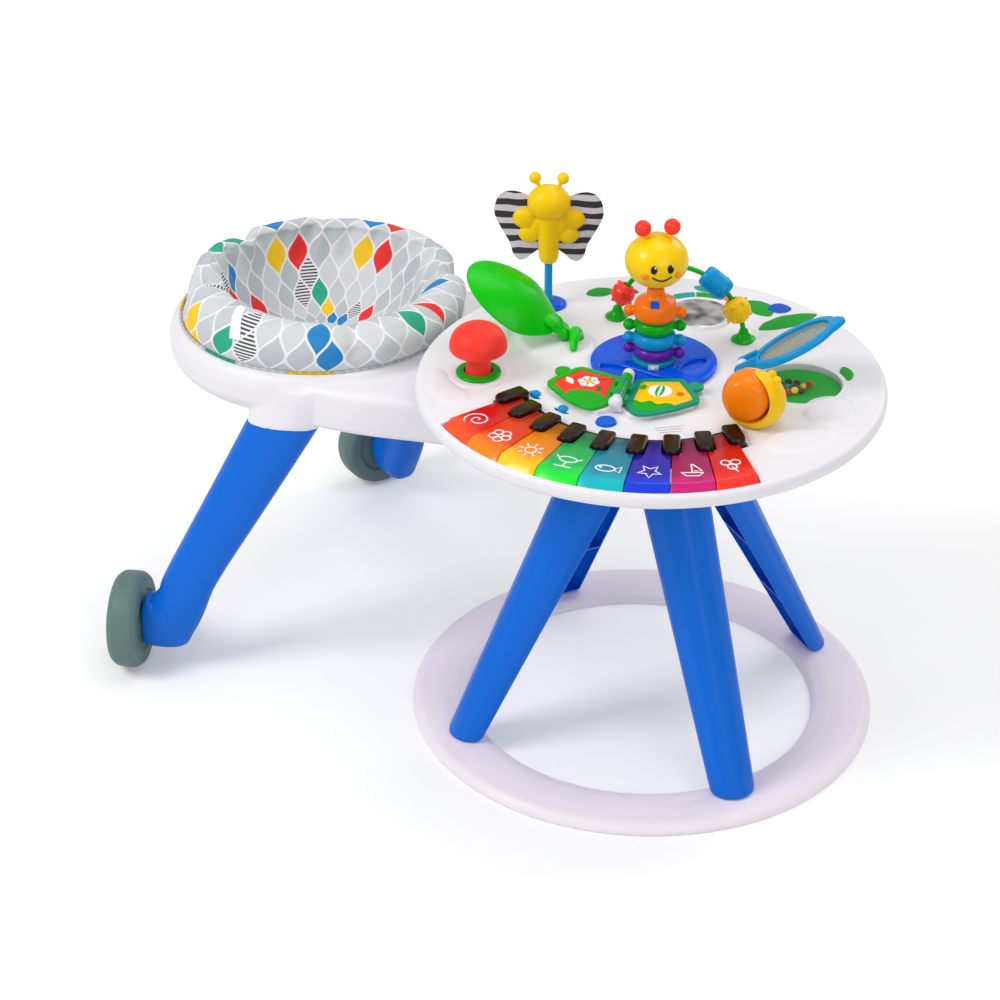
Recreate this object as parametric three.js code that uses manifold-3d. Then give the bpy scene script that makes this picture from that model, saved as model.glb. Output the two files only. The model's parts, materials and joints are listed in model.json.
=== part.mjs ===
// Baby activity centre: a round toy table on four legs and a ring base, and a wheeled walk-round
// seat whose arm turns about the table's hub. Millimetres, +Z up, standing on z = 0.
// The seat's arm runs along -X. The table's own layout is turned a little from that line.
import * as THREE from "three";
import { mergeVertices } from "three/addons/utils/BufferGeometryUtils.js";
import Module from "manifold-3d";

const wasm = await Module();
wasm.setup();

const DEG = Math.PI / 180;
const MERGE = 1e-4;
// Clearance between pieces that touch, and the overrun of a cutting solid past the face it cuts.
const GAP = 0.35;
const OVERRUN = 2;
const HALF_TURN = 180;
const QUARTER_TURN = 90;

// Driving sizes
const TABLE_TURN = 10;
const BASE = { outer: 305, inner: 226, height: 18 };
const TOP = { radius: 294, overArm: 50, thickness: 20, skin: 12, skirtWidth: 16, ribs: 6, ribWidth: 5 };
const LEG = {
  count: 4, firstTurn: 47, footRadius: 262, topRadius: 92, topHeight: 350,
  footWidth: 60, topWidth: 88, footDepth: 33, topDepth: 58, wall: 4, ribs: 2, ribHeight: 4,
  pegRadius: 11, pegLength: 16, endBlock: 24, footRound: 4,
};
const HUB = { discRadius: 132, discHeight: 15, postRadius: 58, flangeRadius: 76 };
const ARM = {
  overDisc: 10.65, height: 58, hubRadius: 95, wall: 4, roof: 4, edge: 9, collarRadius: 72,
  ribPitch: 118, ribWidth: 4, seatWall: 156, legBoss: 3,
};
const SEAT = { distance: 508, holeRadius: 151, bowlRadius: 205, rimRise: 10.5, ledgeDepth: 8.5,
  ledgeRadius: 187 };
const WHEEL = { radius: 65.8, width: 40.7, track: 695, halfAngle: 25 };
const AXLE = { radius: 6, headRadius: 13, headHeight: 3, inside: 52 };
const WALKER_LEG = {
  topAngle: 20.4, topTrack: 470.7, topRise: 12, topLength: 99, topThickness: 66, bossDrop: 5, socketDepth: 8,
};

// Heights from the floor up: the hub's disc, the walker's arm over it, the seat's rim and the table top.
const hubDiscFrom = LEG.topHeight + GAP;
const hubDiscTo = hubDiscFrom + HUB.discHeight;
const armLow = hubDiscTo + ARM.overDisc;
const armTop = armLow + ARM.height;
const seatRim = armTop + SEAT.rimRise;
const seatLedge = seatRim - SEAT.ledgeDepth;
const topUpper = armTop + TOP.overArm;
const topUnderside = topUpper - TOP.thickness;
const seatReach = SEAT.distance + SEAT.bowlRadius;
// The part's origin is on the floor under the middle of its length.
const tableX = (seatReach - BASE.outer) / 2;

const COLOURS = {
  white: 0xf1f1f4, ringWhite: 0xefe6f1, legBlue: 0x0a5bd3, wheelGrey: 0x6d7f80, steel: 0xb9bdc2,
  red: 0xf5382c, orange: 0xfb8315, yellow: 0xffd200, green: 0x10b41c, deepGreen: 0x0c8f6a,
  teal: 0x13a5c0, cyan: 0x18a6e0, plateBlue: 0x0a3fe0, purple: 0x7b22b4, brown: 0x3b2413,
  fabric: 0xd9dcde, clear: 0xdfeef2, mirror: 0xd9dde0, buttonBlue: 0x1565d8,
};

function material(colour, roughness = 0.4, metalness = 0) {
  return new THREE.MeshStandardMaterial({ color: colour, roughness, metalness });
}

function polar(radius, degrees, height = 0) {
  return new THREE.Vector3(radius * Math.cos(degrees * DEG), radius * Math.sin(degrees * DEG), height);
}

// A closed mesh as a solid that can be joined and cut.
function solidOf(geometry) {
  const loose = geometry.index ? geometry.toNonIndexed() : geometry;
  const bare = new THREE.BufferGeometry().setAttribute("position", loose.getAttribute("position").clone());
  const merged = mergeVertices(bare, MERGE);
  return new wasm.Manifold(new wasm.Mesh({
    numProp: 3,
    vertProperties: merged.attributes.position.array,
    triVerts: new Uint32Array(merged.index.array),
  }));
}

function geometryOf(solid) {
  const mesh = solid.getMesh();
  const positions = new Float32Array(mesh.numVert * 3);
  for (let i = 0; i < mesh.numVert; i++) {
    const start = i * mesh.numProp;
    positions.set(mesh.vertProperties.subarray(start, start + 3), i * 3);
  }
  return new THREE.BufferGeometry()
    .setAttribute("position", new THREE.BufferAttribute(positions, 3))
    .setIndex(new THREE.BufferAttribute(mesh.triVerts, 1));
}

function joined(first, ...others) {
  return others.reduce((whole, piece) => whole.add(piece), first);
}

function cut(first, ...tools) {
  return tools.reduce((whole, tool) => whole.subtract(tool), first);
}

function placed(geometry, position = new THREE.Vector3(), turn = 0) {
  return solidOf(geometry.clone().rotateZ(turn * DEG).translate(position.x, position.y, position.z));
}

function moved(solid, x, y, z, turn = 0) {
  return placed(geometryOf(solid), new THREE.Vector3(x, y, z), turn);
}

// A profile of [radius, height] points turned about +Z. The profile meets the axis or closes on itself.
function turned(points, segments = 32) {
  let area = 0;
  points.forEach(([r, z], i) => {
    const [nextR, nextZ] = points[(i + 1) % points.length];
    area += r * nextZ - nextR * z;
  });
  const ordered = area > 0 ? [...points] : [...points].reverse();
  const onAxis = ordered.some(([r]) => r === 0);
  if (onAxis) {
    while (ordered[0][0] !== 0 || ordered.at(-1)[0] !== 0) ordered.push(ordered.shift());
  } else {
    ordered.push(ordered[0]);
  }
  return new THREE.LatheGeometry(ordered.map(([r, z]) => new THREE.Vector2(r, z)),
    segments).rotateX(Math.PI / 2);
}

// Points given as shares of a span of radius and a span of height.
function shared(shares, [radiusFrom, radiusTo], [heightFrom, heightTo]) {
  return shares.map(([r, z]) => [
    radiusFrom + r * (radiusTo - radiusFrom),
    heightFrom + z * (heightTo - heightFrom),
  ]);
}

function ring(inner, outer, from, to, segments = 32) {
  return turned([[inner, from], [outer, from], [outer, to], [inner, to]], segments);
}

function disc(radius, from, to, segments = 32) {
  return turned([[0, from], [radius, from], [radius, to], [0, to]], segments);
}

// A disc whose upper edge is rounded.
const ROUNDED_EDGE_SHARES = [[0, 0], [1, 0], [1, 0.55], [0.9, 1], [0, 1]];
function button(radius, from, to, segments = 16) {
  return turned(shared(ROUNDED_EDGE_SHARES, [0, radius], [from, to]), segments);
}

function extruded(shape, from, to, options = {}) {
  const { bevel = 0, curveSegments = 12, bevelSegments = 2 } = options;
  const geometry = new THREE.ExtrudeGeometry(shape, {
    depth: to - from - 2 * bevel, curveSegments, bevelSegments,
    bevelEnabled: bevel > 0, bevelThickness: bevel, bevelSize: bevel, bevelOffset: -bevel,
  });
  return geometry.translate(0, 0, from + bevel);
}

function outline(points) {
  return new THREE.Shape(points.map(([x, y]) => new THREE.Vector2(x, y)));
}

// Rings of points, each with the same count, joined in order and capped at both ends.
function lofted(rings) {
  const count = rings[0].length;
  const positions = rings.flat().flatMap((p) => [p.x, p.y, p.z]);
  const index = [];
  for (let level = 0; level < rings.length - 1; level++) {
    for (let i = 0; i < count; i++) {
      const a = level * count + i;
      const b = level * count + ((i + 1) % count);
      index.push(a, b, b + count, a, b + count, a + count);
    }
  }
  [[0, true], [rings.length - 1, false]].forEach(([level, flipped]) => {
    const centre = rings[level].reduce((sum, p) => sum.add(p), new THREE.Vector3()).divideScalar(count);
    const middle = positions.length / 3;
    positions.push(centre.x, centre.y, centre.z);
    for (let i = 0; i < count; i++) {
      const a = level * count + i;
      const b = level * count + ((i + 1) % count);
      index.push(...(flipped ? [middle, b, a] : [middle, a, b]));
    }
  });
  const geometry = new THREE.BufferGeometry();
  geometry.setAttribute("position", new THREE.Float32BufferAttribute(positions, 3));
  return geometry.setIndex(index);
}

// A cylinder of a given radius between two points.
function rod(from, to, radius, segments = 16, endRadius = radius) {
  const along = new THREE.Vector3().subVectors(to, from);
  const geometry = new THREE.CylinderGeometry(endRadius, radius, along.length(), segments);
  geometry.translate(0, along.length() / 2, 0);
  geometry.applyQuaternion(new THREE.Quaternion().setFromUnitVectors(
    new THREE.Vector3(0, 1, 0), along.normalize()));
  return geometry.translate(from.x, from.y, from.z);
}

function ball(centre, radius, segments = 16, squash = 1) {
  const geometry = new THREE.SphereGeometry(radius, segments, Math.round(segments * 0.65));
  return geometry.rotateX(Math.PI / 2).scale(1, 1, squash).translate(centre.x, centre.y, centre.z);
}

function slab(width, depth, from, to, x = 0, y = 0) {
  return new THREE.BoxGeometry(width, depth, to - from).translate(x, y, (from + to) / 2);
}

const root = new THREE.Group();
const table = new THREE.Group();
const walker = new THREE.Group();
root.add(table, walker);
table.position.x = tableX;
walker.position.x = tableX;
table.rotation.z = TABLE_TURN * DEG;

function add(group, name, shape, finish) {
  const mesh = new THREE.Mesh(shape.isBufferGeometry ? shape : geometryOf(shape), finish);
  mesh.name = name;
  group.add(mesh);
  return mesh;
}

const white = material(COLOURS.white, 0.35);

// Base ring: a rounded flat ring, raised a little where each leg stands, with a socket for each leg's peg.
const BASE_PROFILE_SHARES = [
  [0, 0], [1, 0], [1, 0.25], [0.97, 0.65], [0.85, 0.96], [0.5, 1], [0.25, 0.84], [0, 0.22],
];
const legFootHeight = BASE.height + GAP;
const legSlope = (LEG.footRadius - LEG.topRadius) / (LEG.topHeight - legFootHeight);

function baseRing() {
  const body = solidOf(turned(shared(BASE_PROFILE_SHARES, [BASE.inner, BASE.outer], [0, BASE.height]), 32));
  const sockets = [];
  for (let i = 0; i < LEG.count; i++) {
    const turn = LEG.firstTurn + (i * 2 * HALF_TURN) / LEG.count;
    const socket = disc(LEG.pegRadius + GAP, BASE.height - LEG.pegLength, BASE.height + OVERRUN, 10);
    sockets.push(placed(socket, polar(LEG.footRadius, turn), turn));
  }
  return cut(body, ...sockets);
}
add(table, "base_ring", baseRing(), material(COLOURS.ringWhite, 0.35));

// Table leg: tapered, round outside, with an open ribbed channel inside.
const LEG_SECTION_SHARES = [
  [-0.5, -0.48], [-0.15, -0.5], [0.28, -0.36], [0.5, -0.12], [0.5, 0.12], [0.28, 0.36], [-0.15, 0.5],
  [-0.5, 0.48],
];
function legSection(height, inset, innerOverrun) {
  const share = (height - legFootHeight) / (LEG.topHeight - legFootHeight);
  const width = LEG.footWidth + share * (LEG.topWidth - LEG.footWidth) - 2 * inset;
  const depth = LEG.footDepth + share * (LEG.topDepth - LEG.footDepth);
  const centre = LEG.footRadius - legSlope * (height - legFootHeight);
  const outer = centre + depth / 2 - inset;
  const inner = centre - depth / 2 - innerOverrun;
  return LEG_SECTION_SHARES.map(([r, t]) => new THREE.Vector3(
    inner + (r + 0.5) * (outer - inner), t * width, height));
}

function tableLeg() {
  const body = solidOf(lofted([
    legSection(legFootHeight, LEG.footRound, -LEG.footRound), legSection(legFootHeight + LEG.footRound, 0, 0),
    legSection(LEG.topHeight, 0, 0),
  ]));
  const from = legFootHeight + LEG.ribHeight;
  const to = LEG.topHeight - LEG.endBlock;
  const pitch = (to - from) / (LEG.ribs + 1);
  const pockets = [];
  for (let i = 0; i <= LEG.ribs; i++) {
    const low = from + i * pitch;
    const high = low + pitch - LEG.ribHeight;
    pockets.push(solidOf(lofted([legSection(low, LEG.wall, OVERRUN), legSection(high, LEG.wall, OVERRUN)])));
  }
  const peg = disc(LEG.pegRadius, BASE.height - LEG.pegLength + LEG.ribHeight,
    legFootHeight + LEG.ribHeight, 10);
  const socket = disc(LEG.pegRadius + GAP, LEG.topHeight - LEG.pegLength, LEG.topHeight + OVERRUN, 10);
  return cut(
    joined(cut(body, ...pockets), placed(peg, new THREE.Vector3(LEG.footRadius, 0, 0))),
    placed(socket, new THREE.Vector3(LEG.topRadius, 0, 0)));
}
const LEG_NAMES = ["leg_back_right", "leg_back_left", "leg_front_left", "leg_front_right"];
const legGeometry = geometryOf(tableLeg());
LEG_NAMES.forEach((name, i) => {
  const mesh = add(table, name, legGeometry, material(COLOURS.legBlue, 0.4));
  mesh.rotation.z = (LEG.firstTurn + (i * 2 * HALF_TURN) / LEG.count) * DEG;
});

// Hub: the disc that the legs plug into, the post that the walker's arm turns on, and a flange under the top.
function hub() {
  const flangeFrom = armTop + OVERRUN;
  const tower = turned([
    [0, hubDiscFrom], [HUB.discRadius, hubDiscFrom], [HUB.discRadius, hubDiscTo], [HUB.postRadius, hubDiscTo],
    [HUB.postRadius, flangeFrom], [HUB.flangeRadius, flangeFrom], [HUB.flangeRadius, topUnderside - GAP],
    [0, topUnderside - GAP],
  ], 32);
  const pegs = [];
  for (let i = 0; i < LEG.count; i++) {
    const turn = LEG.firstTurn + (i * 2 * HALF_TURN) / LEG.count;
    const peg = disc(LEG.pegRadius, LEG.topHeight - LEG.pegLength + GAP, hubDiscFrom + OVERRUN, 10);
    pegs.push(placed(peg, polar(LEG.topRadius, turn), turn));
  }
  return joined(solidOf(tower), ...pegs);
}
add(table, "hub", hub(), white);

// Keyboard fan: keys lie between two arcs about the table's centre, split by rays from a point behind it.
const KEYS = {
  count: 8, fanY: 98, halfFan: 33.5, turn: 2, inner: 172, outer: 285, gap: 1.2, recess: 14.5, underGap: 3.1,
  rise: 5, frontDrop: 11, frontWidth: 13, farReach: 560,
};
const BLACK = { width: 21, length: 34, rise: 10, bridge: 9, clearance: 0.9 };
// How far the recess and the band of dark keys run past the fan's sides, as shares of the fan.
const RECESS_SHARE = 0.04;
const BAND_SHARE = 0.03;
const keyFloor = topUpper - KEYS.recess;
const keyBase = keyFloor + KEYS.underGap;
const keyTop = topUpper + KEYS.rise;
const blackTop = topUpper + BLACK.rise;
function fanSector(fromShare, toShare, from, to, trim = 0) {
  const start = -QUARTER_TURN - KEYS.halfFan + 2 * KEYS.halfFan * fromShare;
  const end = -QUARTER_TURN - KEYS.halfFan + 2 * KEYS.halfFan * toShare;
  const shift = polar(trim / Math.max(Math.sin(((end - start) / 2) * DEG), 0.01), (start + end) / 2);
  const a = polar(KEYS.farReach, start);
  const b = polar(KEYS.farReach, end);
  const shape = outline([[0, 0], [a.x, a.y], [b.x, b.y]]);
  return placed(extruded(shape, from, to).translate(shift.x, KEYS.fanY + shift.y, 0), new THREE.Vector3(),
    KEYS.turn);
}

function blackBlocks(grow) {
  const blocks = [];
  for (let i = 0; i <= KEYS.count; i++) {
    const ray = -QUARTER_TURN - KEYS.halfFan + (2 * KEYS.halfFan * i) / KEYS.count;
    const drop = KEYS.fanY * Math.sin(ray * DEG);
    const start = Math.sqrt(drop ** 2 - KEYS.fanY ** 2 + KEYS.inner ** 2) - drop - grow;
    const shape = new THREE.Shape();
    const half = BLACK.width / 2 + grow;
    const end = start + BLACK.length + 2 * grow;
    shape.moveTo(start - BLACK.bridge, -half);
    shape.lineTo(end - half * 0.5, -half);
    shape.quadraticCurveTo(end, -half, end, 0);
    shape.quadraticCurveTo(end, half, end - half * 0.5, half);
    shape.lineTo(start - BLACK.bridge, half);
    const block = extruded(shape, keyFloor + GAP, blackTop + grow, { curveSegments: 3 });
    blocks.push(placed(block.rotateZ(ray * DEG).translate(0, KEYS.fanY, 0), new THREE.Vector3(), KEYS.turn));
  }
  return joined(...blocks);
}

const recessInner = KEYS.inner - BLACK.bridge - GAP;
const keyboardRecess = solidOf(ring(recessInner, KEYS.outer + KEYS.gap, keyFloor, topUpper + OVERRUN, 56))
  .intersect(fanSector(-RECESS_SHARE, 1 + RECESS_SHARE, keyFloor - OVERRUN, topUpper + 2 * OVERRUN));

// Raised places on the table top, each named for what stands on it.
const MUSHROOM = {
  x: -200, y: -78, stemRadius: 17.5, capRadius: 36, capRise: 28, height: 72, taper: 1,
  collarRadius: 28.5, collarHeight: 5, pedestalRadius: 37, pedestalHeight: 3, holeDepth: 10,
};
const WINDOW = { x: 178, y: 50, radius: 52, bezel: 7, raised: 3, depth: 8, plate: 2, domeRise: 7,
  domeWall: 2 };
const MIRROR = { x: 0, y: 185, radius: 40, bezel: 5, raised: 4, thickness: 3 };
const BUTTON = { x: -10, y: -131, radius: 12.5, height: 4, travel: 2.5, depth: 6 };
const SLIDER = { radius: 6.5, height: 4.5, travel: 5, depth: 4 };
const SLIDERS = [
  { name: "volume_slider", x: -115, y: -98, turn: -42 },
  { name: "mode_slider", x: -70, y: -121, turn: -24 },
];
const GRILLE = { x: 68, y: -121, turn: 30, slots: 4, pitch: 5, width: 1.6, length: 34, depth: 2 };
const LEAF = {
  x: -138, y: 53, heading: 199.4, pitch: 34.6, roll: -20, pivotHeight: 12, length: 147.7, halfWidth: 49.6,
  thickness: 4, crown: 19.6, neck: 12, barrel: 7, pinRadius: 2.5, cheek: 6, blockWidth: 13,
};
const MAGNIFIER = {
  x: 105, y: 42, heading: 9, pitch: 33, pivotHeight: 15, frameCentre: 76, halfLength: 60, halfWidth: 43,
  thickness: 9, rim: 10, tip: 143, tipRadius: 11, barrel: 8, pinRadius: 2.8, cheek: 6, blockWidth: 15,
  lensThickness: 2.4, lensLip: 2, edge: 2.2,
};

// Table top: a round slab with a rounded rim, hollow and ribbed below, with the raised and sunk places
// of its toys.
const pedestalTop = topUpper + MUSHROOM.pedestalHeight;
const windowRecess = topUpper - WINDOW.depth;
const mirrorFloor = topUpper + MIRROR.raised - MIRROR.thickness;
function at({ x, y }, height = 0) {
  return new THREE.Vector3(x, y, height);
}

// A block on the table top, bored across for the pin of a hinged flap.
function hingeBlock({ x, y, heading, pivotHeight, barrel, pinRadius, blockWidth }) {
  const axis = topUpper + pivotHeight;
  const top = rod(new THREE.Vector3(0, -blockWidth / 2, axis), new THREE.Vector3(0, blockWidth / 2, axis),
    barrel, 14);
  const foot = slab(2 * barrel, blockWidth, topUpper - OVERRUN, axis);
  const bore = rod(new THREE.Vector3(0, -blockWidth, axis), new THREE.Vector3(0, blockWidth, axis),
    pinRadius + GAP, 12);
  const block = cut(joined(solidOf(top), solidOf(foot)), solidOf(bore));
  return moved(block, x, y, 0, heading);
}

const RIM_PROFILE_SHARES = [[0.93, 0], [0.982, 0.1], [1, 0.5], [0.982, 0.9], [0.95, 1], [0, 1]];
function tableTop() {
  const innerTop = topUpper - TOP.skin;
  const skirtInner = TOP.radius - TOP.skirtWidth * 1.4;
  const profile = [
    [0, innerTop], [skirtInner, innerTop], [skirtInner, topUnderside],
    ...shared(RIM_PROFILE_SHARES, [0, TOP.radius], [topUnderside, topUpper]),
  ];
  const ribs = [];
  for (let i = 0; i < TOP.ribs; i++) {
    const rib = slab(skirtInner - HUB.flangeRadius, TOP.ribWidth, topUnderside, innerTop + OVERRUN,
      (skirtInner + HUB.flangeRadius) / 2 + OVERRUN);
    ribs.push(placed(rib, new THREE.Vector3(), ((i + 0.5) * 2 * HALF_TURN) / TOP.ribs));
  }
  const hubPad = solidOf(disc(HUB.flangeRadius + OVERRUN * 2, topUnderside, innerTop + OVERRUN, 24));
  const surface = topUpper - OVERRUN;
  const raised = [
    placed(button(MUSHROOM.pedestalRadius, surface, pedestalTop), at(MUSHROOM)),
    placed(button(WINDOW.radius + WINDOW.bezel, surface, topUpper + WINDOW.raised, 24), at(WINDOW)),
    placed(button(MIRROR.radius + MIRROR.bezel, surface, topUpper + MIRROR.raised, 24), at(MIRROR)),
    hingeBlock(LEAF),
    hingeBlock(MAGNIFIER),
  ];
  const sunk = [
    keyboardRecess,
    placed(disc(WINDOW.radius + GAP, windowRecess, topUpper + WINDOW.raised + OVERRUN, 24), at(WINDOW)),
    placed(disc(MIRROR.radius + GAP, mirrorFloor, mirrorFloor + MIRROR.thickness + OVERRUN, 24), at(MIRROR)),
    placed(disc(MUSHROOM.stemRadius + GAP, topUpper - MUSHROOM.holeDepth, pedestalTop + OVERRUN, 20),
      at(MUSHROOM)),
    placed(disc(BUTTON.radius + GAP, topUpper - BUTTON.depth, topUpper + OVERRUN, 20), at(BUTTON)),
  ];
  SLIDERS.forEach(({ x, y, turn }) => {
    const half = SLIDER.travel + SLIDER.radius + GAP;
    sunk.push(placed(slab(2 * half, 2 * (SLIDER.radius + GAP), topUpper - SLIDER.depth, topUpper + OVERRUN),
      at({ x, y }), turn));
  });
  for (let i = 0; i < GRILLE.slots; i++) {
    const offset = (i - (GRILLE.slots - 1) / 2) * GRILLE.pitch;
    const slot = slab(GRILLE.length, GRILLE.width, topUpper - GRILLE.depth, topUpper + OVERRUN, 0, offset);
    sunk.push(placed(slot, at(GRILLE), GRILLE.turn));
  }
  return cut(joined(solidOf(turned(profile, 40)), hubPad, ...ribs, ...raised), ...sunk);
}
add(table, "table_top", tableTop(), white);

// Keys: clear coloured caps whose outer ends slope down, each let in round the dark keys beside it.
const KEY_COLOURS = [0xe8161b, 0xf2541b, 0xf7a01a, 0x17d33c, 0x13a7b0, 0x2626c9, 0xb01870, 0xe21f26];
function keyBlank() {
  const slope = KEYS.outer - KEYS.frontWidth;
  return solidOf(turned([
    [KEYS.inner, keyBase], [KEYS.outer, keyBase], [KEYS.outer, keyTop - KEYS.frontDrop],
    [slope, keyTop], [KEYS.inner, keyTop],
  ], 64));
}
const blank = keyBlank();
const blackClearance = blackBlocks(BLACK.clearance);
for (let i = 0; i < KEYS.count; i++) {
  const wedge = fanSector(i / KEYS.count, (i + 1) / KEYS.count, keyFloor, blackTop, KEYS.gap / 2);
  const key = blank.intersect(wedge).subtract(blackClearance);
  add(table, `key_${i + 1}`, key, material(KEY_COLOURS[i], 0.15));
}
const bandInner = KEYS.inner - BLACK.bridge;
const bandSector = fanSector(-BAND_SHARE, 1 + BAND_SHARE, keyFloor, blackTop + OVERRUN);
const keyboardBand = solidOf(ring(bandInner, KEYS.inner - 2 * GAP, keyFloor + GAP, topUpper + OVERRUN, 64))
  .intersect(bandSector);
const blackLimit = solidOf(ring(bandInner, KEYS.outer, keyFloor, blackTop + OVERRUN, 64))
  .intersect(bandSector);
add(table, "black_keys", joined(blackBlocks(0).intersect(blackLimit), keyboardBand),
  material(COLOURS.brown, 0.2));

// Sound box under the keyboard, with its battery door.
const BOX = { inner: 176, outer: 266, halfAngle: 27, depth: 24, wall: 3, wallAngle: 1, doorThickness: 2.5,
  doorInset: 0.6, doorAngle: 1.3 };
const BOX_ARC = { curveSegments: 8 };
function sectorShape(inner, outer, halfAngle) {
  const shape = new THREE.Shape();
  const from = (-QUARTER_TURN - halfAngle) * DEG;
  const to = (-QUARTER_TURN + halfAngle) * DEG;
  shape.absarc(0, 0, outer, from, to, false);
  shape.absarc(0, 0, inner, to, from, true);
  return shape;
}
const boxTop = topUnderside - GAP;
const boxFrom = boxTop - BOX.depth;
const boxShell = cut(
  solidOf(extruded(sectorShape(BOX.inner, BOX.outer, BOX.halfAngle), boxFrom, boxTop, BOX_ARC)),
  solidOf(extruded(sectorShape(BOX.inner + BOX.wall, BOX.outer - BOX.wall, BOX.halfAngle - BOX.wallAngle),
    boxFrom - OVERRUN, boxTop - BOX.wall, BOX_ARC)));
add(table, "sound_box", boxShell, white);
const doorGap = BOX.wall + GAP;
add(table, "battery_door", solidOf(extruded(
  sectorShape(BOX.inner + doorGap, BOX.outer - doorGap, BOX.halfAngle - BOX.doorAngle),
  boxFrom + BOX.doorInset,
  boxFrom + BOX.doorInset + BOX.doorThickness, BOX_ARC)), material(COLOURS.wheelGrey, 0.5));

// Play button and the two sliding switches.
const buttonFrom = topUpper - BUTTON.depth + BUTTON.travel + GAP;
add(table, "play_button", placed(button(BUTTON.radius, buttonFrom, topUpper + BUTTON.height), at(BUTTON)),
  material(COLOURS.buttonBlue, 0.3));
SLIDERS.forEach(({ name, x, y }) => {
  const knob = button(SLIDER.radius, topUpper - SLIDER.depth + GAP, topUpper + SLIDER.height, 16);
  add(table, name, placed(knob, at({ x, y })), material(COLOURS.cyan, 0.3));
});

// Mushroom: a soft press toy that sinks into its collar.
const collarFrom = pedestalTop + GAP;
const MUSHROOM_CAP_SHARES = [[0.45, 0.05], [0.86, 0], [1, 0.24], [0.92, 0.58], [0.66, 0.86], [0.3, 0.99],
  [0, 1]];
const collarRing = ring(MUSHROOM.stemRadius + GAP, MUSHROOM.collarRadius, collarFrom,
  collarFrom + MUSHROOM.collarHeight, 20);
add(table, "mushroom_collar", placed(collarRing, at(MUSHROOM)), material(COLOURS.green, 0.35));
const mushroomFoot = pedestalTop - GAP;
const capLow = topUpper + MUSHROOM.capRise;
add(table, "mushroom", placed(turned([
  [0, mushroomFoot], [MUSHROOM.stemRadius, mushroomFoot], [MUSHROOM.stemRadius - MUSHROOM.taper, capLow],
  ...shared(MUSHROOM_CAP_SHARES, [0, MUSHROOM.capRadius], [capLow, topUpper + MUSHROOM.height]),
], 20), at(MUSHROOM)), material(COLOURS.red, 0.4));

// Mirror and the beads' window, each let into a raised bezel.
const mirrorDisc = button(MIRROR.radius, mirrorFloor + GAP, mirrorFloor + GAP + MIRROR.thickness, 24);
add(table, "mirror", placed(mirrorDisc, at(MIRROR)), material(COLOURS.mirror, 0.05, 1));
const windowFloor = windowRecess + GAP;
add(table, "window_plate", placed(disc(WINDOW.radius, windowFloor, windowFloor + WINDOW.plate, 24),
  at(WINDOW)),
  material(COLOURS.green, 0.4));
const DOME_SHARES = [[1, 0], [1, 0.6], [0.9, 0.82], [0.5, 0.97], [0, 1]];
const domeFrom = windowFloor + WINDOW.plate + GAP;
const domeOuter = shared(DOME_SHARES, [0, WINDOW.radius], [domeFrom, topUpper + WINDOW.domeRise]);
const domeInner = shared(DOME_SHARES, [0, WINDOW.radius - WINDOW.domeWall],
  [domeFrom, topUpper + WINDOW.domeRise - WINDOW.domeWall]);
add(table, "window_dome", placed(turned([...domeOuter, ...domeInner.reverse()], 24), at(WINDOW)),
  material(COLOURS.clear, 0.05));

// A hinged flap's own frame: +X along the flap from its pin, +Z out of its upper face.
function hinged(mesh, { x, y, heading, pitch, pivotHeight }) {
  mesh.position.set(x, y, topUpper + pivotHeight);
  mesh.rotation.set(0, -pitch * DEG, heading * DEG, "ZYX");
}

// Two cheeks outside a hinge block, with the pin between them.
function hingeCheeks({ barrel, pinRadius, cheek, blockWidth }, reach) {
  const inner = blockWidth / 2 + GAP;
  const cheeks = [-1, 1].flatMap((side) => {
    const round = rod(new THREE.Vector3(0, side * inner, 0),
      new THREE.Vector3(0, side * (inner + cheek), 0), barrel, 14);
    const arm = slab(reach, cheek, -barrel / 2, barrel, reach / 2, side * (inner + cheek / 2));
    return [solidOf(round), solidOf(arm)];
  });
  const pin = rod(new THREE.Vector3(0, -inner - cheek / 2, 0), new THREE.Vector3(0, inner + cheek / 2, 0),
    pinRadius, 10);
  return joined(solidOf(pin), ...cheeks);
}

// Leaf flap: a crowned leaf that lifts from the table on its pin.
const LEAF_WIDTH_SHARES = [[0, 0.3], [0.08, 0.62], [0.22, 0.92], [0.4, 1], [0.6, 0.93], [0.78, 0.71],
  [0.92, 0.4], [1, 0.1]];
function leafBlade({ length, halfWidth, thickness, crown, neck, roll }) {
  const across = 6;
  const rings = LEAF_WIDTH_SHARES.map(([along, width]) => {
    const upper = [];
    const lower = [];
    for (let i = 0; i <= across; i++) {
      const share = -1 + (2 * i) / across;
      const lift = crown * width * (1 - share * share) * Math.sin(Math.PI * (0.12 + 0.8 * along));
      const x = neck + along * (length - neck);
      const y = share * halfWidth * width;
      upper.push(new THREE.Vector3(x, y, lift + thickness / 2));
      lower.unshift(new THREE.Vector3(x, y, lift - thickness / 2));
    }
    return [...upper, ...lower].reverse();
  });
  return solidOf(lofted(rings).rotateX(roll * DEG));
}
hinged(add(table, "leaf_flap", joined(leafBlade(LEAF), hingeCheeks(LEAF, LEAF.neck + LEAF.barrel)),
  material(COLOURS.green, 0.25)), LEAF);

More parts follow.
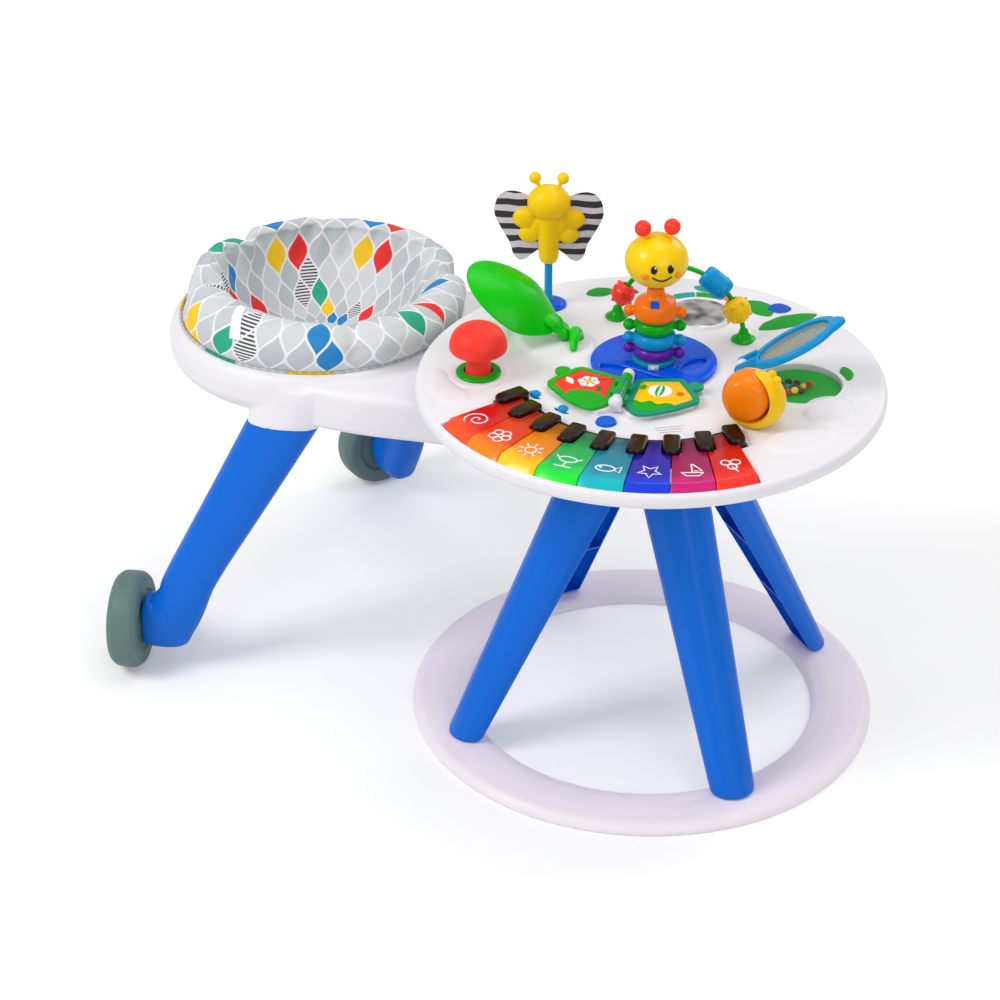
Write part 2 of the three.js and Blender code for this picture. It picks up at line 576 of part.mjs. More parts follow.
// Leaf stalk: a curved stem behind the leaf's hinge, standing on the table at both ends.
const STALK = {
  radius: 7.5, tipRadius: 3, fromX: -121, fromY: 58, midX: -117, midY: 41, toX: -111, toY: 20,
  midHeight: 15, tipHeight: 5,
};
function stalk() {
  const foot = topUpper + GAP;
  const curve = new THREE.CatmullRomCurve3([
    at({ x: STALK.fromX, y: STALK.fromY }, foot),
    at({ x: STALK.fromX, y: STALK.fromY }, foot + STALK.midHeight),
    at({ x: STALK.midX, y: STALK.midY }, foot + STALK.midHeight),
    at({ x: STALK.toX, y: STALK.toY }, foot + STALK.tipHeight),
  ]);
  const steps = 7;
  const rings = [];
  for (let i = 0; i <= steps; i++) {
    const share = i / steps;
    const centre = curve.getPoint(share);
    const along = curve.getTangent(share);
    const side = new THREE.Vector3(0, 1, 0).cross(along).normalize();
    const up = new THREE.Vector3().crossVectors(along, side);
    const radius = STALK.radius + share * share * (STALK.tipRadius - STALK.radius);
    const count = 8;
    rings.push(Array.from({ length: count }, (_, k) => {
      const angle = (k / count) * 2 * Math.PI;
      return centre.clone().addScaledVector(side, radius * Math.cos(angle)).addScaledVector(up,
        radius * Math.sin(angle));
    }));
  }
  const floor = slab(LEAF.length, LEAF.length, topUnderside, foot, STALK.midX, STALK.midY);
  return cut(solidOf(lofted(rings)), solidOf(floor));
}
add(table, "leaf_stalk", stalk(), material(COLOURS.green, 0.25));

// Magnifier: an oval frame with a tab at its tip and a clear lens let into it.
function oval(halfLength, halfWidth, centre = 0) {
  const shape = new THREE.Shape();
  shape.absellipse(centre, 0, halfLength, halfWidth, 0, 2 * Math.PI, false, 0);
  return shape;
}
const lensHalfLength = MAGNIFIER.halfLength - MAGNIFIER.rim;
const lensHalfWidth = MAGNIFIER.halfWidth - MAGNIFIER.rim;
const lensFrom = -MAGNIFIER.lensThickness / 2;
function magnifierFrame() {
  const { frameCentre, halfLength, halfWidth, thickness, tip, tipRadius, lensLip, edge, barrel } = MAGNIFIER;
  const body = extruded(oval(halfLength, halfWidth, frameCentre), -thickness / 2, thickness / 2,
    { bevel: edge, curveSegments: 11, bevelSegments: 1 });
  const tab = extruded(oval(tipRadius, tipRadius, tip - tipRadius), -thickness / 2, thickness / 2,
    { bevel: edge, curveSegments: 6, bevelSegments: 1 });
  const tabNeck = slab(2 * tipRadius, 2 * tipRadius, edge - thickness / 2, thickness / 2 - edge,
    tip - 2 * tipRadius);
  const opening = extruded(oval(lensHalfLength - lensLip, lensHalfWidth - lensLip, frameCentre), -thickness,
    thickness, { curveSegments: 10 });
  const rebate = extruded(oval(lensHalfLength, lensHalfWidth, frameCentre), lensFrom - GAP, thickness,
    { curveSegments: 10 });
  const shell = joined(solidOf(body), solidOf(tab), solidOf(tabNeck),
    hingeCheeks(MAGNIFIER, frameCentre - halfLength + barrel));
  return cut(shell, solidOf(opening), solidOf(rebate));
}
hinged(add(table, "magnifier_frame", magnifierFrame(), material(COLOURS.cyan, 0.3)), MAGNIFIER);
const lensShape = oval(lensHalfLength - GAP, lensHalfWidth - GAP, MAGNIFIER.frameCentre);
hinged(add(table, "magnifier_lens", extruded(lensShape, lensFrom, -lensFrom, { curveSegments: 10 }),
  material(COLOURS.clear, 0.05)), MAGNIFIER);

// Butterfly: a yellow body that spins on a stem, with cloth wings held in a slot through it.
const STEM = { x: -193, y: 139.5, baseRadius: 24, baseHeight: 6, radius: 5.4, rise: 76, socket: 5.9 };
// The butterfly's heights are above the table top.
const BUTTERFLY = {
  turn: 19, bottom: 62, bodyRadius: 14.3, shoulder: 131, headHeight: 146, headWidth: 28.2, headRadius: 24,
  feelerX: 18, feelerHeight: 180, feelerRadius: 8, feelerStalk: 3.2, wingThickness: 2,
  upperLobeX: 32, upperLobeHeight: 124, upperLobeRadius: 13,
  lowerLobeX: 24.5, lowerLobeHeight: 101, lowerLobeRadius: 12.4, lobeSquash: 0.75,
  wingHalfWidth: 70, wingLow: 65, wingHigh: 163,
};
// The cloth's bridge through the body: its lower and upper edge, and half its width.
const BRIDGE_SHARES = { low: 0.33, high: 0.5, half: 0.17 };
add(table, "stem_base", placed(turned(shared(
  [[0, 0], [1, 0], [1, 0.3], [0.85, 0.75], [0.5, 1], [0, 1]],
  [0, STEM.baseRadius], [topUpper + GAP, topUpper + GAP + STEM.baseHeight]), 16), at(STEM)),
  material(COLOURS.plateBlue, 0.25));
const stemFrom = topUpper + STEM.baseHeight + 2 * GAP;
add(table, "butterfly_stem", placed(disc(STEM.radius, stemFrom, topUpper + STEM.rise, 12), at(STEM)),
  material(COLOURS.cyan, 0.3));

// One wing's outline as shares of its half width and of its height.
const WING_SHARES = [
  [0.17, 0.82], [0.4, 0.93], [0.62, 0.98], [0.8, 0.97], [0.93, 0.9], [1, 0.76], [0.99, 0.62], [0.86, 0.42],
  [0.72, 0.24], [0.66, 0.08], [0.56, 0], [0.42, 0.01], [0.3, 0.09], [0.17, 0.17],
];
function wingSolid(grow) {
  const { wingHalfWidth, wingLow, wingHigh, wingThickness } = BUTTERFLY;
  const span = wingHigh - wingLow;
  const right = WING_SHARES.map(([x, z]) => [x * wingHalfWidth + (x > BRIDGE_SHARES.half ? 0 : -grow),
    wingLow + z * span]);
  const inner = BRIDGE_SHARES.half * wingHalfWidth - grow;
  const half = [
    [inner, wingLow + BRIDGE_SHARES.high * span + grow], ...right,
    [inner, wingLow + BRIDGE_SHARES.low * span - grow],
  ];
  const shape = outline([...half, ...half.map(([x, z]) => [-x, z]).reverse()]);
  const flat = extruded(shape, -wingThickness / 2 - grow, wingThickness / 2 + grow);
  return solidOf(flat.rotateX(Math.PI / 2));
}
function butterfly() {
  const b = BUTTERFLY;
  const body = turned([
    [0, b.bottom], [b.bodyRadius * 0.62, b.bottom], [b.bodyRadius * 0.9, b.bottom + b.bodyRadius * 0.4],
    [b.bodyRadius, b.bottom + b.bodyRadius], [b.bodyRadius, b.shoulder], [0, b.shoulder],
  ], 10);
  const head = ball(at({ x: 0, y: 0 }), b.headRadius, 12);
  head.scale(b.headWidth / b.headRadius, 1, 1).translate(0, 0, b.headHeight);
  const parts = [solidOf(head)];
  [-1, 1].forEach((side) => {
    [[b.upperLobeX, b.upperLobeHeight, b.upperLobeRadius],
      [b.lowerLobeX, b.lowerLobeHeight, b.lowerLobeRadius]]
      .forEach(([x, z, radius]) => {
        const lobe = ball(at({ x: 0, y: 0 }), radius, 8).scale(1, b.lobeSquash, 1).translate(side * x, 0, z);
        const arm = rod(at({ x: 0, y: 0 }, z), at({ x: side * x, y: 0 }, z), radius * 0.8, 6).scale(1,
          b.lobeSquash, 1);
        parts.push(solidOf(lobe), solidOf(arm));
      });
    const tip = at({ x: side * b.feelerX, y: 0 }, b.feelerHeight);
    parts.push(solidOf(ball(tip, b.feelerRadius, 8)));
    parts.push(solidOf(rod(at({ x: side * b.feelerX * 0.5, y: 0 }, b.headHeight), tip, b.feelerStalk, 6)));
  });
  const socket = disc(STEM.socket, b.bottom - OVERRUN, STEM.rise + GAP, 12);
  return cut(joined(solidOf(body), ...parts), wingSolid(GAP), solidOf(socket));
}
add(table, "butterfly", moved(butterfly(), STEM.x, STEM.y, topUpper, BUTTERFLY.turn),
  material(COLOURS.yellow, 0.35));
add(table, "butterfly_wings", moved(wingSolid(0), STEM.x, STEM.y, topUpper, BUTTERFLY.turn),
  material(COLOURS.fabric, 0.9));

// Spinning tower: a plate on the table, a post with a collar, four knobbed rings and a bug's head.
const PLATE = { x: -8, y: 34, radius: 80, height: 6.5, recess: 3, waveHalf: 44, waveNear: 50, waveFar: 40,
  waveBend: 14 };
const TOWER = {
  x: -8, y: 33, postRadius: 8, postRise: 12, collarRadius: 27, collarHeight: 6, knobRadius: 7.4,
  knobReach: 32,
  knobNeck: 5, headGap: 3, headBase: 32, headRadius: 39.5, headHalfHeight: 34, headTurn: 30,
  feelerRadius: 10.5,
  feelerStalk: 3.4, squareSize: 11, squareProud: 2.5, squareLift: 24.65, squareReach: 22,
};
const TOWER_SEGMENTS = 16;
const plateFrom = topUpper + GAP;
const plateTop = plateFrom + PLATE.height;
function plate() {
  const body = solidOf(turned(shared([[0, 0], [1, 0], [1, 0.6], [0.96, 1], [0, 1]],
    [0, PLATE.radius], [plateFrom, plateTop]), 32));
  const wave = new THREE.Shape();
  wave.moveTo(-PLATE.waveHalf, -PLATE.waveFar);
  wave.bezierCurveTo(-PLATE.waveBend, -PLATE.waveFar + PLATE.waveBend, PLATE.waveBend,
    -PLATE.waveFar - PLATE.waveBend,
    PLATE.waveHalf, -PLATE.waveFar + PLATE.waveBend);
  wave.lineTo(PLATE.waveHalf, -PLATE.waveNear);
  wave.bezierCurveTo(PLATE.waveBend, -PLATE.waveNear - PLATE.waveBend, -PLATE.waveBend,
    -PLATE.waveNear - PLATE.waveBend,
    -PLATE.waveHalf, -PLATE.waveFar);
  const front = solidOf(extruded(wave, plateTop - PLATE.recess, plateTop + OVERRUN, { curveSegments: 8 }));
  const back = solidOf(extruded(oval(PLATE.waveBend, PLATE.waveBend / 2), plateTop - PLATE.recess,
    plateTop + OVERRUN));
  return moved(cut(body, front, moved(back, PLATE.waveHalf, PLATE.waveFar / 2, 0, -QUARTER_TURN / 3)),
    PLATE.x, PLATE.y, 0);
}
add(table, "spinner_plate", plate(), material(COLOURS.plateBlue, 0.25));

const collarLow = plateTop + GAP;
const collarTop = collarLow + TOWER.collarHeight;

// Ring outlines: shares of the radius beyond the post, and of the ring's height.
const RING_SHARES = [[0, 0], [0.74, 0], [1, 0.26], [1, 0.74], [0.74, 1], [0, 1]];
const DOME_RING_SHARES = [[0, 0], [0.76, 0], [1, 0.24], [0.92, 0.56], [0.72, 0.82], [0.3, 1], [0, 1]];
const RINGS = [
  { name: "ring_purple", height: 15.45, radius: 25.5, turn: 8, colour: COLOURS.purple, outline: RING_SHARES },
  { name: "ring_cyan", height: 18.65, radius: 27, turn: 14, colour: COLOURS.cyan, outline: RING_SHARES },
  { name: "ring_green", height: 16.65, radius: 25.5, turn: 20, colour: COLOURS.green, outline: RING_SHARES },
  { name: "ring_orange", height: 44.65, radius: 27.5, turn: 17, colour: COLOURS.orange,
    outline: DOME_RING_SHARES },
];
let stackTop = collarTop;
RINGS.forEach(({ name, height, radius, turn, colour, outline: shares }) => {
  const low = stackTop + GAP;
  const top = low + height;
  stackTop = top;
  const bore = TOWER.postRadius + GAP;
  const parts = [solidOf(turned(shared(shares, [bore, radius], [low, top]), TOWER_SEGMENTS))];
  const knobHeight = low + TOWER.knobRadius + (shares === DOME_RING_SHARES ? OVERRUN : 0);
  [-1, 1].forEach((side) => {
    const tip = at({ x: side * TOWER.knobReach, y: 0 }, knobHeight);
    parts.push(solidOf(ball(tip, TOWER.knobRadius, 8)));
    parts.push(solidOf(rod(at({ x: side * radius * 0.7, y: 0 }, knobHeight), tip, TOWER.knobNeck, 6)));
  });
  if (shares === DOME_RING_SHARES) {
    const face = slab(TOWER.squareSize, TOWER.squareReach, low + TOWER.squareLift,
      low + TOWER.squareLift + TOWER.squareSize, 0, -TOWER.squareReach / 2 - TOWER.squareProud);
    parts.push(solidOf(face).subtract(solidOf(disc(bore, low, top + TOWER.squareSize, TOWER_SEGMENTS))));
  }
  add(table, name, moved(joined(...parts), TOWER.x, TOWER.y, 0, turn), material(colour, 0.3));
});

const postTop = stackTop + TOWER.postRise;
add(table, "tower_post", placed(turned([
  [0, collarLow], [TOWER.collarRadius, collarLow], [TOWER.collarRadius, collarTop],
  [TOWER.postRadius, collarTop],
  [TOWER.postRadius, postTop], [0, postTop],
], TOWER_SEGMENTS), at(TOWER)), material(COLOURS.teal, 0.35));

function bugHead() {
  const t = TOWER;
  const flat = stackTop + t.headGap;
  const middle = flat + t.headBase;
  const squash = t.headHalfHeight / t.headRadius;
  const parts = [solidOf(ball(at({ x: 0, y: 0 }, 0), t.headRadius, 14, squash).translate(0, 0, middle))];
  [-1, 1].forEach((side) => {
    const spread = side * t.headRadius * 0.46;
    const tip = at({ x: spread, y: 0 }, middle + t.headHalfHeight + t.feelerRadius * 0.9);
    parts.push(solidOf(ball(tip, t.feelerRadius, 8)));
    parts.push(solidOf(rod(at({ x: spread * 0.7, y: 0 }, middle), tip, t.feelerStalk, 6)));
  });
  const below = slab(2 * t.headRadius, 2 * t.headRadius, middle - 2 * t.headHalfHeight, flat);
  const socket = disc(t.postRadius + GAP, middle - 2 * t.headHalfHeight, postTop + GAP, TOWER_SEGMENTS);
  return cut(joined(...parts), solidOf(below), solidOf(socket));
}
add(table, "bug_head", moved(bugHead(), TOWER.x, TOWER.y, 0, TOWER.headTurn), material(COLOURS.yellow, 0.3));

// Bead arch: a half hoop on two cone feet, carrying three beads.
const ARCH = {
  x: -10.5, y: 140, radius: 86, rise: 2, tube: 3.2, footRadius: 16, footHeight: 16, footTop: 5,
  redAt: 157, blueAt: 57, yellowAt: 27, redRadius: 15.5, blueRadius: 15, blueHalf: 20, yellowRadius: 17.5,
  spikeLength: 3, spikeRadius: 2.2, spikeTilt: 30,
};
const archBase = topUpper + ARCH.rise;
function hoop(tube, from, to, segments, sides) {
  const rings = [];
  for (let i = 0; i <= segments; i++) {
    const angle = from + ((to - from) * i) / segments;
    const out = polar(1, angle);
    rings.push(Array.from({ length: sides }, (_, k) => {
      const turn = ((k + 0.5) / sides) * 2 * Math.PI;
      const reach = ARCH.radius + tube * Math.cos(turn);
      return new THREE.Vector3(out.x * reach, tube * Math.sin(turn), archBase + out.y * reach);
    }));
  }
  return solidOf(lofted(rings));
}
function beadArch() {
  const feet = [-1, 1].map((side) => placed(turned([
    [0, plateFrom], [ARCH.footRadius, plateFrom], [ARCH.footRadius, plateFrom + OVERRUN],
    [ARCH.footTop, plateFrom + ARCH.footHeight], [0, plateFrom + ARCH.footHeight],
  ], 14), at({ x: side * ARCH.radius, y: 0 })));
  const spread = 2;
  return moved(joined(hoop(ARCH.tube, spread, HALF_TURN - spread, 24, 6), ...feet), ARCH.x, ARCH.y, 0);
}
add(table, "bead_arch", beadArch(), material(COLOURS.green, 0.3));

// How far the hoop bends away from a straight line over half a bead's length.
function bendOver(half) {
  return half ** 2 / (2 * ARCH.radius);
}

// A bead's own frame: +Z along the hoop. Its straight bore clears the hoop's bend, so that it spins and
// slides.
function onHoop(solid, angle, half) {
  const boreRadius = ARCH.tube + bendOver(half) / 2 + 2 * GAP;
  const bore = solidOf(disc(boreRadius, -half - OVERRUN, half + OVERRUN, 12));
  const centre = polar(ARCH.radius - bendOver(half) / 2, angle);
  const geometry = geometryOf(cut(solid, bore)).rotateY((HALF_TURN - angle) * DEG);
  return solidOf(geometry.translate(centre.x, 0, archBase + centre.y));
}
function spikes(radius, rows, sides) {
  const parts = [];
  rows.forEach((tilt) => {
    for (let i = 0; i < sides; i++) {
      const turn = ((i + (tilt > 0 ? 0.5 : 0)) / sides) * 2 * Math.PI;
      const out = new THREE.Vector3(Math.cos(turn) * Math.cos(tilt * DEG),
        Math.sin(turn) * Math.cos(tilt * DEG), Math.sin(tilt * DEG));
      parts.push(solidOf(rod(out.clone().multiplyScalar(radius * 0.8),
        out.clone().multiplyScalar(radius + ARCH.spikeLength),
        ARCH.spikeRadius, 3, ARCH.spikeRadius * 0.6)));
    }
  });
  return parts;
}
function roundBead(radius, spikeCount) {
  return joined(solidOf(ball(new THREE.Vector3(), radius, 10)),
    ...spikes(radius, [-ARCH.spikeTilt, ARCH.spikeTilt], spikeCount));
}
const barrelBead = joined(solidOf(turned([
  [0, -ARCH.blueHalf], [ARCH.blueRadius * 0.8, -ARCH.blueHalf], [ARCH.blueRadius, -ARCH.blueHalf * 0.7],
  [ARCH.blueRadius, ARCH.blueHalf * 0.7], [ARCH.blueRadius * 0.8, ARCH.blueHalf], [0, ARCH.blueHalf],
], 12)), ...spikes(ARCH.blueRadius, [-ARCH.spikeTilt, ARCH.spikeTilt], 5));
const BEADS = [
  { name: "bead_red", angle: ARCH.redAt, half: ARCH.redRadius, colour: COLOURS.red,
    shape: roundBead(ARCH.redRadius, 5) },
  { name: "bead_yellow", angle: ARCH.yellowAt, half: ARCH.yellowRadius, colour: COLOURS.yellow,
    shape: roundBead(ARCH.yellowRadius, 6) },
  { name: "bead_blue", angle: ARCH.blueAt, half: ARCH.blueHalf, colour: COLOURS.cyan, shape: barrelBead },
];
BEADS.forEach(({ name, angle, half, colour, shape }) => {
  add(table, name, moved(onHoop(shape, angle, half), ARCH.x, ARCH.y, 0), material(colour, 0.35));
});

// Snail: a crescent body with a cheek behind it, whose pin carries the spinning shell.
const SNAIL = {
  x: 155, y: -66, turn: 8, halfLength: 37, halfDepth: 30, halfHeight: 37, shellX: -8, shellRise: 7,
  shellRadius: 30,
  shellFront: -29, shellBack: 17, cheekRadius: 23, cheek: 5, pinRadius: 4.5, pinFront: -19, base: 3,
  feelerRadius: 5.4, feelerStalk: 2.6, rearFeelerX: 19, rearFeelerY: 5, frontFeelerX: 27, frontFeelerY: -9,
  feelerRise: 33,
};
const snailCentre = topUpper + SNAIL.halfHeight - SNAIL.base;
const SHELL_SHARES = [[0, 0], [0.55, 0.02], [0.86, 0.12], [1, 0.36], [1, 0.74], [0.84, 1], [0, 1]];
function acrossSnail(geometry) {
  return solidOf(geometry.rotateX(-QUARTER_TURN * DEG).translate(SNAIL.shellX, 0,
    snailCentre + SNAIL.shellRise));
}
function snailBody() {
  const s = SNAIL;
  const blob = new THREE.SphereGeometry(1, 14, 9).scale(s.halfLength, s.halfDepth,
    s.halfHeight).translate(0, 0, snailCentre);
  const hollow = acrossSnail(disc(s.shellRadius + 2 * GAP, -2 * s.halfDepth, s.shellBack + GAP, 20));
  const cheek = acrossSnail(disc(s.cheekRadius, s.shellBack + GAP, s.shellBack + s.cheek, 20));
  const pin = acrossSnail(disc(s.pinRadius, s.pinFront, s.shellBack + OVERRUN, 16));
  const feelers = [[s.rearFeelerX, s.rearFeelerY], [s.frontFeelerX, s.frontFeelerY]].flatMap(([x, y]) => {
    const tip = at({ x, y }, snailCentre + s.feelerRise);
    return [solidOf(ball(tip, s.feelerRadius, 8)),
      solidOf(rod(at({ x, y }, snailCentre + s.halfHeight / 3), tip, s.feelerStalk, 8))];
  });
  const floor = solidOf(slab(4 * s.halfLength, 4 * s.halfLength, topUnderside, plateFrom));
  return cut(joined(cut(joined(solidOf(blob), ...feelers), hollow), cheek, pin), floor);
}
add(table, "snail_body", moved(snailBody(), SNAIL.x, SNAIL.y, 0, SNAIL.turn), material(COLOURS.yellow, 0.3));
const snailShell = cut(
  acrossSnail(turned(shared(SHELL_SHARES, [0, SNAIL.shellRadius], [SNAIL.shellFront, SNAIL.shellBack]), 20)),
  acrossSnail(disc(SNAIL.pinRadius + GAP, SNAIL.pinFront - GAP, SNAIL.shellBack + OVERRUN, 16)));
add(table, "snail_shell", moved(snailShell, SNAIL.x, SNAIL.y, 0, SNAIL.turn), material(COLOURS.orange, 0.3));

// Book: two pages that turn about one pin on a low white base.
const BOOK = {
  x: -11.5, y: -72, turn: 7.8, baseHeight: 6.5, pageThickness: 4.5, pageFrom: 8.6, reach: 98, depth: 56,
  inset: 7,
  barrel: 7, pinRadius: 2.6, axisRise: 11, strip: 3, stripHalf: 6, webFrom: 3, endBlock: 9, half: 38,
  knuckles: 4,
};
// A page's outline: shares of the way from the spine to its far corner, and of its depth.
const PAGE_SHARES = [
  [0, -0.518], [0.206, -0.911], [0.418, -0.786], [0.709, -0.446], [1, 0.054], [0.911, 0.357], [0.642, 1],
  [0, 0.714],
];
const PAGE_TAB = { x: 84, y: 40, radius: 10 };
const bookFrom = topUpper + GAP;
const bookTop = bookFrom + BOOK.baseHeight;
const bookAxis = bookTop + BOOK.axisRise;
const pageFrom = bookTop + GAP;
function pageOutline(from, inset) {
  return PAGE_SHARES.map(([x, y]) => [
    x === 0 ? from : BOOK.pageFrom + x * (BOOK.reach - BOOK.pageFrom) - inset,
    y * BOOK.depth - (Math.sign(y) * inset) / 2,
  ]);
}
function mirrored(points, side) {
  return side > 0 ? points : points.map(([x, y]) => [-x, y]).reverse();
}
function knuckle(fromY, toY, radius) {
  return rod(new THREE.Vector3(0, fromY, bookAxis), new THREE.Vector3(0, toY, bookAxis), radius, 10);
}
const pinBore = solidOf(knuckle(-BOOK.half - OVERRUN, BOOK.half + OVERRUN, BOOK.pinRadius + GAP));
function bookBase() {
  const decks = [-1, 1].map((side) => solidOf(extruded(
    outline(mirrored(pageOutline(-OVERRUN, BOOK.inset), side)), bookFrom, bookTop)));
  const ends = [-1, 1].flatMap((side) => {
    const [a, b] = [side * BOOK.half, side * (BOOK.half - BOOK.endBlock)].sort((p, q) => p - q);
    const post = slab(2 * BOOK.barrel, b - a, bookTop - OVERRUN, bookAxis, 0, (a + b) / 2);
    return [solidOf(post), solidOf(knuckle(a, b, BOOK.barrel))];
  });
  const overPlate = solidOf(disc(PLATE.radius + 2 * GAP, bookFrom - OVERRUN, plateTop + GAP, 32));
  const strip = solidOf(slab(2 * BOOK.stripHalf, 2 * BOOK.half, bookTop - OVERRUN, bookTop + BOOK.strip));
  const book = moved(cut(joined(...decks, strip, ...ends), pinBore), BOOK.x, BOOK.y, 0, BOOK.turn);
  return cut(book, moved(overPlate, PLATE.x, PLATE.y, 0));
}
add(table, "book_base", bookBase(), white);
function bookPage(side) {
  const leaf = extruded(outline(mirrored(pageOutline(BOOK.pageFrom, 0), side)), pageFrom,
    pageFrom + BOOK.pageThickness);
  const tab = disc(PAGE_TAB.radius, pageFrom, pageFrom + BOOK.pageThickness,
    16).translate(side * PAGE_TAB.x, PAGE_TAB.y, 0);
  const inner = BOOK.half - BOOK.endBlock;
  const pitch = (2 * inner) / BOOK.knuckles;
  const parts = [solidOf(leaf), solidOf(tab)];
  for (let i = side > 0 ? 0 : 1; i < BOOK.knuckles; i += 2) {
    const low = -inner + i * pitch + GAP / 2;
    const high = low + pitch - GAP;
    parts.push(solidOf(knuckle(low, high, BOOK.barrel)));
    const webTo = BOOK.pageFrom + OVERRUN;
    parts.push(solidOf(slab(webTo - BOOK.webFrom, high - low, bookTop + BOOK.strip + GAP, bookAxis,
      side * (webTo + BOOK.webFrom) / 2, (low + high) / 2)));
  }
  return moved(cut(joined(...parts), pinBore), BOOK.x, BOOK.y, 0, BOOK.turn);
}
add(table, "book_page_left", bookPage(-1), material(COLOURS.green, 0.35));
add(table, "book_page_right", bookPage(1), material(COLOURS.deepGreen, 0.35));
add(table, "book_pin", moved(solidOf(knuckle(-BOOK.half, BOOK.half, BOOK.pinRadius)), BOOK.x, BOOK.y, 0,
  BOOK.turn),
  material(COLOURS.steel, 0.3, 1));

// Walker: the seat's bowl and its arm in one shell, hollow below, with sockets for its two legs.
const SEAT_X = -SEAT.distance;
const SEAT_SEGMENTS = 32;
// The bowl's outside and its hollow: shares of its radius, and of the height from the arm's underside to
// the rim.
const BOWL_SHARES = [[0, 0], [0.868, 0], [0.971, 0.2], [1, 0.58], [0.98, 0.86], [0.927, 1], [0, 1]];
const BOWL_HOLLOW_SHARES = [[0, -0.1], [0.839, -0.1], [0.839, 0.06], [0.944, 0.27], [0.973, 0.58],
  [0.956, 0.76], [0, 0.76]];
// Half the arm's width from the seat's side to the hub's: places as shares of the seat's distance.
const ARM_EDGE_SHARES = [[-0.925, 0.368], [-0.683, 0.331], [-0.478, 0.264], [-0.295, 0.209]];
function armShape(inset) {
  const hubRadius = ARM.hubRadius - inset;
  const nose = Array.from({ length: 7 }, (_, i) => polar(hubRadius, 108 - i * 36));
  const curve = new THREE.SplineCurve(ARM_EDGE_SHARES.map(([x, y]) => new THREE.Vector2(
    x * SEAT.distance, y * SEAT.distance - inset)));
  const side = curve.getPoints(6);
  return outline([
    ...side.map((p) => [p.x, p.y]), ...nose.map((p) => [p.x, p.y]), ...side.reverse().map((p) => [p.x, -p.y]),
  ]);
}
const seatAt = new THREE.Vector3(SEAT_X, 0, 0);

// The walker leg's sections: shares of the way out from its socket to the wheel and up from the axle to
// its top,
// a tilt in degrees, and shares of the top section's length and thickness.
const LEG_SECTION_PLACE_SHARES = [
  { out: 0.065, up: 0.913, tilt: 0, length: 0.98, thickness: 0.97 },
  { out: 0.365, up: 0.572, tilt: 0, length: 0.879, thickness: 0.879 },
  { out: 0.655, up: 0.243, tilt: 0, length: 0.778, thickness: 0.818 },
  { out: 0.728, up: 0.137, tilt: 8, length: 0.707, thickness: 0.803 },
  { out: 0.802, up: 0.044, tilt: 42, length: 0.747, thickness: 0.788 },
  { out: 0.861, up: 0.0085, tilt: 58, length: 0.869, thickness: 0.788 },
  { out: 1, up: 0.0035, tilt: 90, length: 0.727, thickness: 0.758 },
];
// Below this share of its height the leg stands at the wheel's own angle.
const LEG_BEND_SHARE = 0.131;
const legTop = armLow + WALKER_LEG.topRise;
const legEnd = WHEEL.track - WHEEL.width / 2 - GAP;
const bossLow = armLow - WALKER_LEG.bossDrop;
const socketTop = armLow + WALKER_LEG.socketDepth;
const LEG_STATIONS = LEG_SECTION_PLACE_SHARES.map(({ out, up, tilt, length, thickness }) => ({
  track: WALKER_LEG.topTrack + out * (legEnd - WALKER_LEG.topTrack),
  height: WHEEL.radius + up * (legTop - WHEEL.radius),
  tilt,
  length: length * WALKER_LEG.topLength,
  thickness: thickness * WALKER_LEG.topThickness,
}));
const ROUND_BLOCK_SHARES = [
  [0.5, 0.2], [0.38, 0.42], [0.1, 0.5], [-0.1, 0.5], [-0.38, 0.42], [-0.5, 0.2],
  [-0.5, -0.2], [-0.38, -0.42], [-0.1, -0.5], [0.1, -0.5], [0.38, -0.42], [0.5, -0.2],
];
function walkerLegBlank(side, stations, grow = 0) {
  const rings = stations.map(({ track, height, tilt, length, thickness }) => {
    const bend = WHEEL.radius + LEG_BEND_SHARE * (legTop - WHEEL.radius);
    const share = Math.min(1, (socketTop - height) / (socketTop - bend));
    const angle = HALF_TURN - side * (WALKER_LEG.topAngle + share * (WHEEL.halfAngle - WALKER_LEG.topAngle));
    const out = polar(1, angle);
    const sideways = polar(1, angle + QUARTER_TURN);
    return ROUND_BLOCK_SHARES.map(([l, t]) => {
      const along = l * (length + 2 * grow);
      const radial = track + along * Math.cos(tilt * DEG);
      return new THREE.Vector3(0, 0, height + along * Math.sin(tilt * DEG))
        .addScaledVector(out, radial).addScaledVector(sideways, t * (thickness + 2 * grow));
    });
  });
  return solidOf(lofted(rings.reverse()));
}
function socketStations(low, high) {
  const [upper] = LEG_STATIONS;
  const slope = (upper.track - WALKER_LEG.topTrack) / (upper.height - legTop);
  return [high, low].map((height) => ({ ...upper, height,
    track: upper.track + slope * (height - upper.height) }));
}

